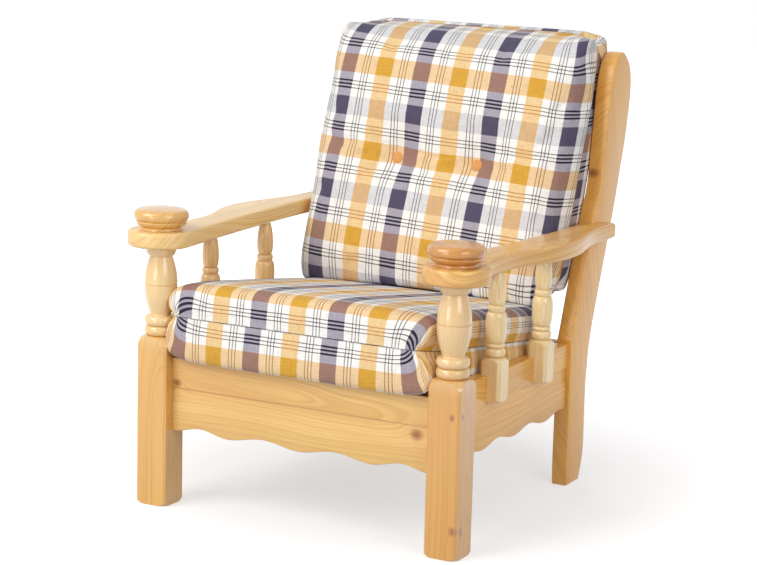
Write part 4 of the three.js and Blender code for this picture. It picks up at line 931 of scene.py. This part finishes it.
    # The weave's relief, drawn at 1.6 mm instead of 0.5, on creases a few centimetres long
    waves = []
    for run in (across, along):
        wave = add(tree, "ShaderNodeMath", {0: run, 1: 2 * math.pi / 0.0016}, operation="MULTIPLY").outputs[0]
        waves.append(add(tree, "ShaderNodeMath", {0: wave}, operation="SINE").outputs[0])
    crumple = add(tree, "ShaderNodeTexNoise", {"Vector": place, "Scale": 24.0, "Detail": 3.0}).outputs["Fac"]
    relief = waves[0]
    for operation, value in (("MULTIPLY", waves[1]), ("MULTIPLY", 0.12), ("ADD", crumple)):
        relief = add(tree, "ShaderNodeMath", {0: relief, 1: value}, operation=operation).outputs[0]
    bump = add(tree, "ShaderNodeBump", {"Height": relief, "Strength": 0.35, "Distance": 0.002}).outputs[0]
    shader = add(tree, "ShaderNodeBsdfPrincipled", {
        "Base Color": cloth.outputs["Result"], "Roughness": 0.92, "Normal": bump, "Sheen Weight": 0.08,
        "Sheen Roughness": 0.5, "Specular IOR Level": 0.2})
    add(tree, "ShaderNodeOutputMaterial", {"Surface": shader.outputs[0]})
    return material


cloth = check_cloth("woven_cotton_check")

# ## Seat cushion
# A loose foam block in checked cotton. Two panels meet in a seam at half its height, and at each
# corner the cloth is gathered to a point on the seam, so that it bulges above and below.

seat_width = 570
seat_length = 565.7
seat_under, seat_over = 84, 76
cloth_steps = 96


def fullness(place, low_power, high_power):
    """Share of the full height at a place across a cushion: 0 at its seam."""
    power = np.where(place < 0, low_power, high_power)
    return np.clip(1 - np.abs(place) ** power, 0, 1) ** (1 / power)


def eased(share):
    """0 below 0 and 1 above 1, with a smooth change between."""
    share = np.clip(share, 0, 1)
    return share * share * (3 - 2 * share)


def squeezed(gap, reach, pull):
    """How far cloth at a gap from a corner is drawn in with it, when the corner is drawn in by pull."""
    share = np.clip(1 - gap / reach, 0, 1)
    return reach * share - (reach - pull) * (1 - (1 - share) ** (reach / (reach - pull)))


def cushion_sheet(a, b, form, sheet, pinched=1.0):
    """Points of one panel in mm, for a and b from -1 to 1."""
    corner = np.abs(a * b) ** 6
    across_rise = fullness(a, sheet["side_power"], sheet["side_power"])
    along_rise = fullness(b, sheet["low_power"], sheet["high_power"])
    rise = across_rise * along_rise
    bulge = 1 + sheet["bulge"] * along_rise * np.sin(np.pi * across_rise)
    x = a * form["half_width"] * (1 - form["corner"] * corner) * (1 - form["waist"] * (1 - b ** 2) * a ** 2) * bulge
    y = b * form["half_length"] * (1 - form["corner"] * corner) * (1 - form["waist"] * (1 - a ** 2) * b ** 2)
    z = sheet["crown"] * (1 - sheet.get("fall", 0) * (1 + b) / 2) * rise
    z = z * (1 - sheet["crown_share"] * (a ** 2 + b ** 2) / 2)
    for tuft_x, tuft_y, radius, depth in sheet["tufts"]:
        distance = np.hypot(x - tuft_x, y - tuft_y) / radius
        z = z - depth * rise * (0.75 * np.exp(-distance ** 2) + 0.25 * np.exp(-(distance / 2) ** 2))
    overhang = eased((sheet["sag_reach"] - form["half_length"] - y) / sheet["sag_reach"])
    z = z + sheet["sag"] * overhang * eased(z / sheet["crown"])
    groove = form["groove"] * np.exp(-(z / 6) ** 2)
    side, end = form["half_width"] - np.abs(x), form["half_length"] - np.abs(y)
    level = pinched * np.exp(-(z / np.where(x < 0, *form["pinch_heights"])) ** 0.9)
    pull_x = squeezed(side, 70, np.where(x < 0, form["pinch_left"], form["pinch_right"])) * eased(1 - end / 50)
    pull_x = pull_x * np.where(y < 0, form["low_share"], 1)
    pull_y = squeezed(end, 50, np.where(y < 0, form["pinch_low"], form["pinch_high"])) * eased(1 - side / 60)
    ears = form["ears"] * eased(1 - (form["half_length"] + y) / 50) * eased((np.abs(a) - 0.75) / 0.25)
    x = x - np.sign(x) * (groove * eased((np.abs(a) - 0.96) / 0.04) + pull_x * level - ears)
    y = y - np.sign(y) * (groove * eased((np.abs(b) - 0.96) / 0.04) + pull_y * level)
    return np.stack([x, y, sheet["direction"] * z], axis=-1)


def drawn_in(form, sheet, flat, from_side, from_end):
    """Cloth distances from the side and end seams, in which the corners' spare cloth fans out of each gather."""
    x, y, z = np.moveaxis(flat, -1, 0)
    side, end, risen = form["half_width"] - np.abs(x), form["half_length"] - np.abs(y), np.abs(z) / sheet["crown"]
    half = len(side) // 2
    side_wall = np.interp(60, side[:half, half], from_side[:half, half]) - 60
    end_wall = np.interp(60, end[half, :half], from_end[half, :half]) - 60
    turned_corner = eased((end - side) / (1.2 * np.abs(z) + 14) + 0.5)
    side_cloth = side_wall * (1 - turned_corner + risen * turned_corner) + side
    end_cloth = end_wall * (turned_corner + risen * (1 - turned_corner)) + end
    near = eased(1.6 - np.maximum(side, end) / 60) * eased((0.95 - risen) / 0.4)
    swallowed = np.where(x < 0, *form["gathered"]) * np.exp(-(side ** 2 + end ** 2 + z ** 2) / 42 ** 2)
    splayed = np.where(x < 0, *sheet["splay"]) * eased(1 - side / 130) * eased(risen)
    return (from_side + near * (side_cloth - from_side) + swallowed * np.sqrt(turned_corner) + splayed,
            from_end + near * (end_cloth - from_end) + swallowed * np.sqrt(1 - turned_corner))


def run_of(points):
    """Lengths along a line through points, from 0 at its start."""
    return np.concatenate([[0], np.cumsum(np.linalg.norm(np.diff(points, axis=0), axis=1))])


def cushion(name, form, place, count):
    """A closed cushion of two panels on a shared seam, with cloth lengths in mm as its UV map.

    place moves an array of points from the cushion's own frame to the chair's.
    """
    fine = np.sin(np.linspace(-math.pi / 2, math.pi / 2, 2001))

    def even(points, values):
        """Values at places that are the same length apart along the points."""
        lengths = run_of(points)
        return np.interp(np.linspace(0, lengths[-1], count + 1), lengths, values)

    plain = {**form, "groove": 0}, {**form["sheets"][0], "tufts": ()}
    columns = even(cushion_sheet(fine, np.zeros_like(fine), *plain), fine)
    rows = even(cushion_sheet(np.zeros_like(fine), fine, *plain), fine)
    columns[0], columns[-1], rows[0], rows[-1] = -1, 1, -1, 1
    a, b = np.meshgrid(columns, rows, indexing="ij")
    verts, cut, faces, cloth_places, seam_gaps = [], [], [], [], []
    seam_index = {}
    middle = count // 2
    for sheet in form["sheets"]:
        points = place(cushion_sheet(a, b, form, sheet))
        flat = cushion_sheet(a, b, form, {**sheet, "tufts": ()}, pinched=0.0)
        rest = place(cushion_sheet(a, b, form, sheet, pinched=0.0))
        run_u, run_v = run_of(flat[:, middle]), run_of(flat[middle, :])
        gap_u, gap_v = np.minimum(run_u, run_u[-1] - run_u), np.minimum(run_v, run_v[-1] - run_v)
        from_side, from_end = drawn_in(form, sheet, flat, *np.meshgrid(gap_u, gap_v, indexing="ij"))
        across = np.sign(a) * (run_u[middle] - from_side)
        along = np.sign(b) * (run_v[middle] - from_end)
        u = sheet["warp_scale"] * across + sheet["warp_lean"] * along - sheet["warp_at"]
        v = sheet["weft_lean"] * across + along - sheet["weft_at"]
        if sheet["weft_from"] == "seam":
            v = v + run_v[middle]
        index = np.empty((count + 1, count + 1), int)
        for i in range(count + 1):
            for j in range(count + 1):
                on_seam = i in (0, count) or j in (0, count)
                if on_seam and (i, j) in seam_index:
                    index[i, j] = seam_index[i, j]
                    continue
                index[i, j] = len(verts)
                verts.append(points[i, j] * mm)
                cut.append(rest[i, j] * mm)
                seam_gaps.append(min(gap_u[i], gap_v[j]) * mm)
                if on_seam:
                    seam_index[i, j] = index[i, j]
        for i in range(count):
            for j in range(count):
                corners = [(i, j), (i + 1, j), (i + 1, j + 1), (i, j + 1)]
                if sheet["direction"] < 0:
                    corners.reverse()
                faces.append([index[c] for c in corners])
                cloth_places.extend((u[c] * mm, v[c] * mm) for c in corners)
    mesh = bpy.data.meshes.new(name)
    mesh.from_pydata(verts, [], faces)
    layer = mesh.uv_layers.new(name="cloth")
    layer.data.foreach_set("uv", np.array(cloth_places).ravel())
    mesh.attributes.new("seam_gap", "FLOAT", "POINT").data.foreach_set("value", seam_gaps)
    mesh.validate()
    piece = bpy.data.objects.new(name, mesh)
    bpy.context.scene.collection.objects.link(piece)
    return piece, np.array(cut), sorted(set(seam_index.values()))


def inflated(piece, cut, held, most):
    """Blows a cushion's cloth up round its held points, each point by no more than most mm."""
    start = np.array([v.co[:] for v in piece.data.vertices])
    piece.shape_key_add(name="placed")
    key = piece.shape_key_add(name="cut")
    key.data.foreach_set("co", cut.ravel())
    key.value = 0
    group = piece.vertex_groups.new(name="held")
    for indices in held:
        group.add([int(i) for i in indices], 1.0, "REPLACE")
    modifier = piece.modifiers.new("cloth", "CLOTH")
    settings = modifier.settings
    settings.quality = 6
    settings.mass = 0.3
    settings.tension_stiffness = settings.compression_stiffness = 14
    settings.shear_stiffness = 6
    settings.bending_stiffness = 0.4
    settings.use_pressure = True
    settings.uniform_pressure_force = 4.0
    settings.vertex_group_mass = "held"
    settings.rest_shape_key = key
    settings.effector_weights.gravity = 0
    modifier.collision_settings.use_collision = False
    frames = 20
    modifier.point_cache.frame_start, modifier.point_cache.frame_end = 1, frames
    for number in range(1, frames + 1):
        bpy.context.scene.frame_set(number)
    evaluated = piece.evaluated_get(bpy.context.evaluated_depsgraph_get())
    end = np.array([v.co[:] for v in evaluated.data.vertices])
    piece.modifiers.clear()
    bpy.context.scene.frame_set(1)
    piece.shape_key_clear()
    move = end - start
    length = np.linalg.norm(move, axis=1, keepdims=True)
    move *= np.minimum(1, np.reshape(most, (-1, 1)) * mm / np.maximum(length, 1e-9))
    piece.data.vertices.foreach_set("co", (start + move).ravel())
    piece.data.update()


def pleated(piece, gathers, height, reach):
    """Adds the pleats that radiate from each gather, given as (point in mm, three directions round it)."""
    mesh = piece.data
    count = len(mesh.vertices)
    places, normals = np.empty(count * 3), np.empty(count * 3)
    mesh.vertices.foreach_get("co", places)
    mesh.vertex_normals.foreach_get("vector", normals)
    places, normals = places.reshape(-1, 3) / mm, normals.reshape(-1, 3)
    for number, (point, run, rise) in enumerate(gathers):
        away = places - np.array(point)
        distance = np.linalg.norm(away, axis=1)
        turn = np.arctan2(away @ np.array(rise), away @ np.array(run))
        folds = np.cos(11 * turn + number) + 0.5 * np.cos(17 * turn + 2 * number)
        lift = height * folds * np.exp(-distance / reach) * (1 - np.exp(-distance / 8))
        places += normals * lift[:, None]
    mesh.vertices.foreach_set("co", (places * mm).ravel())
    mesh.update()


def on_seat(points):
    """From a frame lying on the slats to the chair's, in mm."""
    x, y, z = np.moveaxis(points, -1, 0)
    y = y + seat_length / 2 - 27
    z = z + seat_under + 0.3
    turned_y = y * math.cos(seat_slope) + z * math.sin(seat_slope)
    turned_z = z * math.cos(seat_slope) - y * math.sin(seat_slope)
    return np.stack([x, turned_y + front_face_y, turned_z + seat_height], axis=-1)


# Powers say how square the edges are, the rest is in mm: crown the height, pinches and gathered the
# cloth drawn in at the corners, splay how the check fans out, warp_at and weft_at where a band lies
seat_edges = {"side_power": 9, "low_power": 9, "high_power": 9, "bulge": 0.018, "tufts": (), "weft_from": "seam",
              "warp_scale": 1.05, "warp_lean": 0, "weft_lean": 0, "sag_reach": 32}
seat_form = {
    "half_width": seat_width / 2, "half_length": seat_length / 2, "corner": 0.006, "waist": 0.004, "groove": 2.5,
    "pinch_left": 9, "pinch_right": 46, "low_share": 1, "pinch_low": 10, "pinch_high": 12, "pinch_heights": (15, 23),
    "ears": 7, "gathered": (12, 26),
    "sheets": [
        {**seat_edges, "direction": 1, "crown": seat_over, "crown_share": 0.05, "fall": 0.1, "sag": 0,
         "splay": (-8, 26), "warp_at": -267, "weft_at": 70 - weft_repeat / 2},
        {**seat_edges, "direction": -1, "crown": seat_under, "crown_share": 0, "sag": 21,
         "splay": (-6, 12), "warp_at": -278, "weft_at": 67 - weft_repeat / 2},
    ],
}
seat, seat_cut, seat_seam = cushion("seat_cushion_sewn", seat_form, on_seat, cloth_steps)
# Held at the seam and where it lies on the slats
low_verts = [v.index for v in seat.data.vertices
             if v.co.z * 1000 < seat_height - (v.co.y * 1000 - front_face_y) * math.tan(seat_slope) + 6]
inflated(seat, seat_cut, [seat_seam, low_verts], np.full(len(seat_cut), 7.0))
seat_gathers = []
for side, pull in ((-1, seat_form["pinch_left"]), (1, seat_form["pinch_right"])):
    for end in (-1, 1):
        point = on_seat(np.array([side * (seat_width / 2 - pull), end * (seat_length / 2 - 12), 0.0]))
        seat_gathers.append((point, (side, -end, 0), (0, 0, 1)))
pleated(seat, seat_gathers, 3.2, 22)


def covered(piece, node, fill):
    """Gives a cushion its cloth, rounds it, and sets it in the place of its node, on its own body."""
    piece.data.materials.append(cloth)
    piece.data.shade_smooth()
    subdivision = piece.modifiers.new("round", "SUBSURF")
    subdivision.levels = subdivision.render_levels = 1
    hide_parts(node)
    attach(piece, f"{node}_body")


covered(seat, "seat_cushion", 0.9)

# ## Back cushion
# Its front panel is deep and its back panel shallow, and the seam between them runs just in front of
# the rear posts. Two covered buttons pull it in, tied through to small ones behind.

back_width = 574
back_height = 530
back_bottom = 396
back_front, back_rear = 116, 62
back_lean = math.tan(back_rake)
back_seam_y = post_y + 489 - 0.3 - back_rear
tuft_x = 92
tuft_z = 650


def against_back(points):
    """From a frame lying face up to the chair's, in mm: upright, then leaned with its level lines level."""
    x, y, z = np.moveaxis(points, -1, 0)
    height = y + back_bottom + back_height / 2
    return np.stack([x, back_seam_y - z + back_lean * height, height], axis=-1)


def settled(piece, below, depth):
    """Lets the lowest part of a cushion down on what is below it, in mm, so that it rests all along."""
    surface = BVHTree.FromPolygons([v.co for v in below.data.vertices], [p.vertices for p in below.data.polygons])
    low = [v for v in piece.data.vertices if v.co.z < (back_bottom + depth) * mm]
    gaps = []
    for vertex in low:
        hit = surface.ray_cast(vertex.co + Vector((0, 0, 0.1)), Vector((0, 0, -1)))[0]
        gaps.append((vertex.co.z - hit.z) / mm if hit else depth)
    gaps = np.array(gaps)
    terms = np.array([(1, v.co.x, v.co.y, v.co.x ** 2, v.co.y ** 2) for v in low])
    under = np.array([v.normal.z < -0.8 for v in low]) & (gaps < depth / 2)
    under_gap = terms @ np.linalg.lstsq(terms[under], gaps[under], rcond=None)[0]
    rest = np.maximum(depth - (depth - gaps) * (depth - 0.6) / (depth - under_gap), 0.6)
    for vertex, gap, new_gap in zip(low, gaps, rest):
        if gap < depth:
            vertex.co.z += (new_gap - gap) * mm


tuft_y = tuft_z - back_bottom - back_height / 2
tuft_reach = 38
back_cloth = {"warp_scale": 1, "warp_lean": -0.015, "weft_lean": 0.05, "weft_from": "middle", "sag": 0, "sag_reach": 1,
              "splay": (0, 0)}
back_form = {
    "half_width": back_width / 2, "half_length": back_height / 2, "corner": 0.018, "waist": 0.003, "groove": 5,
    "pinch_left": 14, "pinch_right": 14, "low_share": 0.4, "pinch_low": 8, "pinch_high": 26, "pinch_heights": (22, 22),
    "ears": 0, "gathered": (26, 26),
    "sheets": [
        {**back_cloth, "direction": 1, "crown": back_front, "crown_share": 0.05, "side_power": 13, "low_power": 12,
         "high_power": 6, "bulge": 0.04, "tufts": [(side * tuft_x, tuft_y, tuft_reach, 26) for side in (-1, 1)],
         "warp_at": -60, "weft_at": -90},
        {**back_cloth, "direction": -1, "crown": back_rear, "crown_share": 0, "side_power": 11, "low_power": 8,
         "high_power": 5, "bulge": 0.004, "tufts": [(side * tuft_x, tuft_y, tuft_reach, 14) for side in (-1, 1)],
         "warp_at": -20, "weft_at": -30},
    ],
}
back, back_cut, back_seam = cushion("back_cushion_sewn", back_form, against_back, cloth_steps)
# Held at the seam, at the buttons and all over its back panel
held = [back_seam]
places = np.array([v.co[:] for v in back.data.vertices]) / mm
behind = places[:, 1] - back_lean * places[:, 2] > back_seam_y + 3
held.append(np.nonzero(behind)[0])
most = np.full(len(places), 8.0)
for side in (-1, 1):
    distance = np.hypot(places[:, 0] - side * tuft_x, places[:, 2] - tuft_z)
    held.append(np.nonzero((distance < 15) & ~behind)[0])
    most = np.minimum(most, 8 * eased(distance / 75))
inflated(back, back_cut, held, most)
back_gathers = []
for side in (-1, 1):
    for end, pinch in ((-1, 16), (1, 26)):
        point = against_back(np.array([side * (back_width / 2 - 14), end * (back_height / 2 - pinch), 0.0]))
        back_gathers.append((point, (side, 0, -end), (0, -1, 0)))
    point = against_back(np.array([side * tuft_x, tuft_y, back_front - 26.0]))
    back_gathers.append((point, (1, 0, 0), (0, 0, 1)))
pleated(back, back_gathers, 1.8, 26)
settled(back, seat, 50)
covered(back, "back_cushion", 0.85)

# ## Buttons
# Domed metal blanks covered in the same cotton, cut from its orange band. The front two are tied
# through the cushion to the two behind.

# Peach cotton, matt, with its threads drawn at 1.4 mm instead of 0.4
button_cloth, tree = material_tree("peach_cotton_over_buttons")
place = add(tree, "ShaderNodeTexCoord").outputs["Object"]
threads = add(tree, "ShaderNodeTexNoise", {"Vector": place, "Scale": 700.0}).outputs["Fac"]
peach = add(tree, "ShaderNodeMix", {
    "Factor": threads, "A": linear("#cf8f50"), "B": linear("#e0a468")}, data_type="RGBA").outputs["Result"]
bump = add(tree, "ShaderNodeBump", {"Height": threads, "Strength": 0.3, "Distance": 0.0006})
shader = add(tree, "ShaderNodeBsdfPrincipled", {
    "Base Color": peach, "Roughness": 0.9, "Normal": bump.outputs[0], "Specular IOR Level": 0.2})
add(tree, "ShaderNodeOutputMaterial", {"Surface": shader.outputs[0]})

button_profile = [(0, 0), (12.2, 0), (13, 1), (13, 2.2)] + bezier(10, (13, 2.2), (12.6, 6.2), (0, 6.6))
places = []
for face, depth in ((1, back_front - 27), (-1, back_rear - 16)):
    for side in (-1, 1):
        places.append((against_back(np.array([side * tuft_x, tuft_y, face * depth])),
                       (face * math.pi / 2 - back_rake, 0, 0)))
button = turned("button", button_profile, 48)
buttons = set_out("tuft_buttons_covered", button, places, button_cloth)
bpy.data.objects.remove(button)
fitted(buttons, button_cloth,
       [f"tuft_{kind}_{word}" for kind in ("button", "back_button") for side, word in sides], "back_cushion_body", 50)
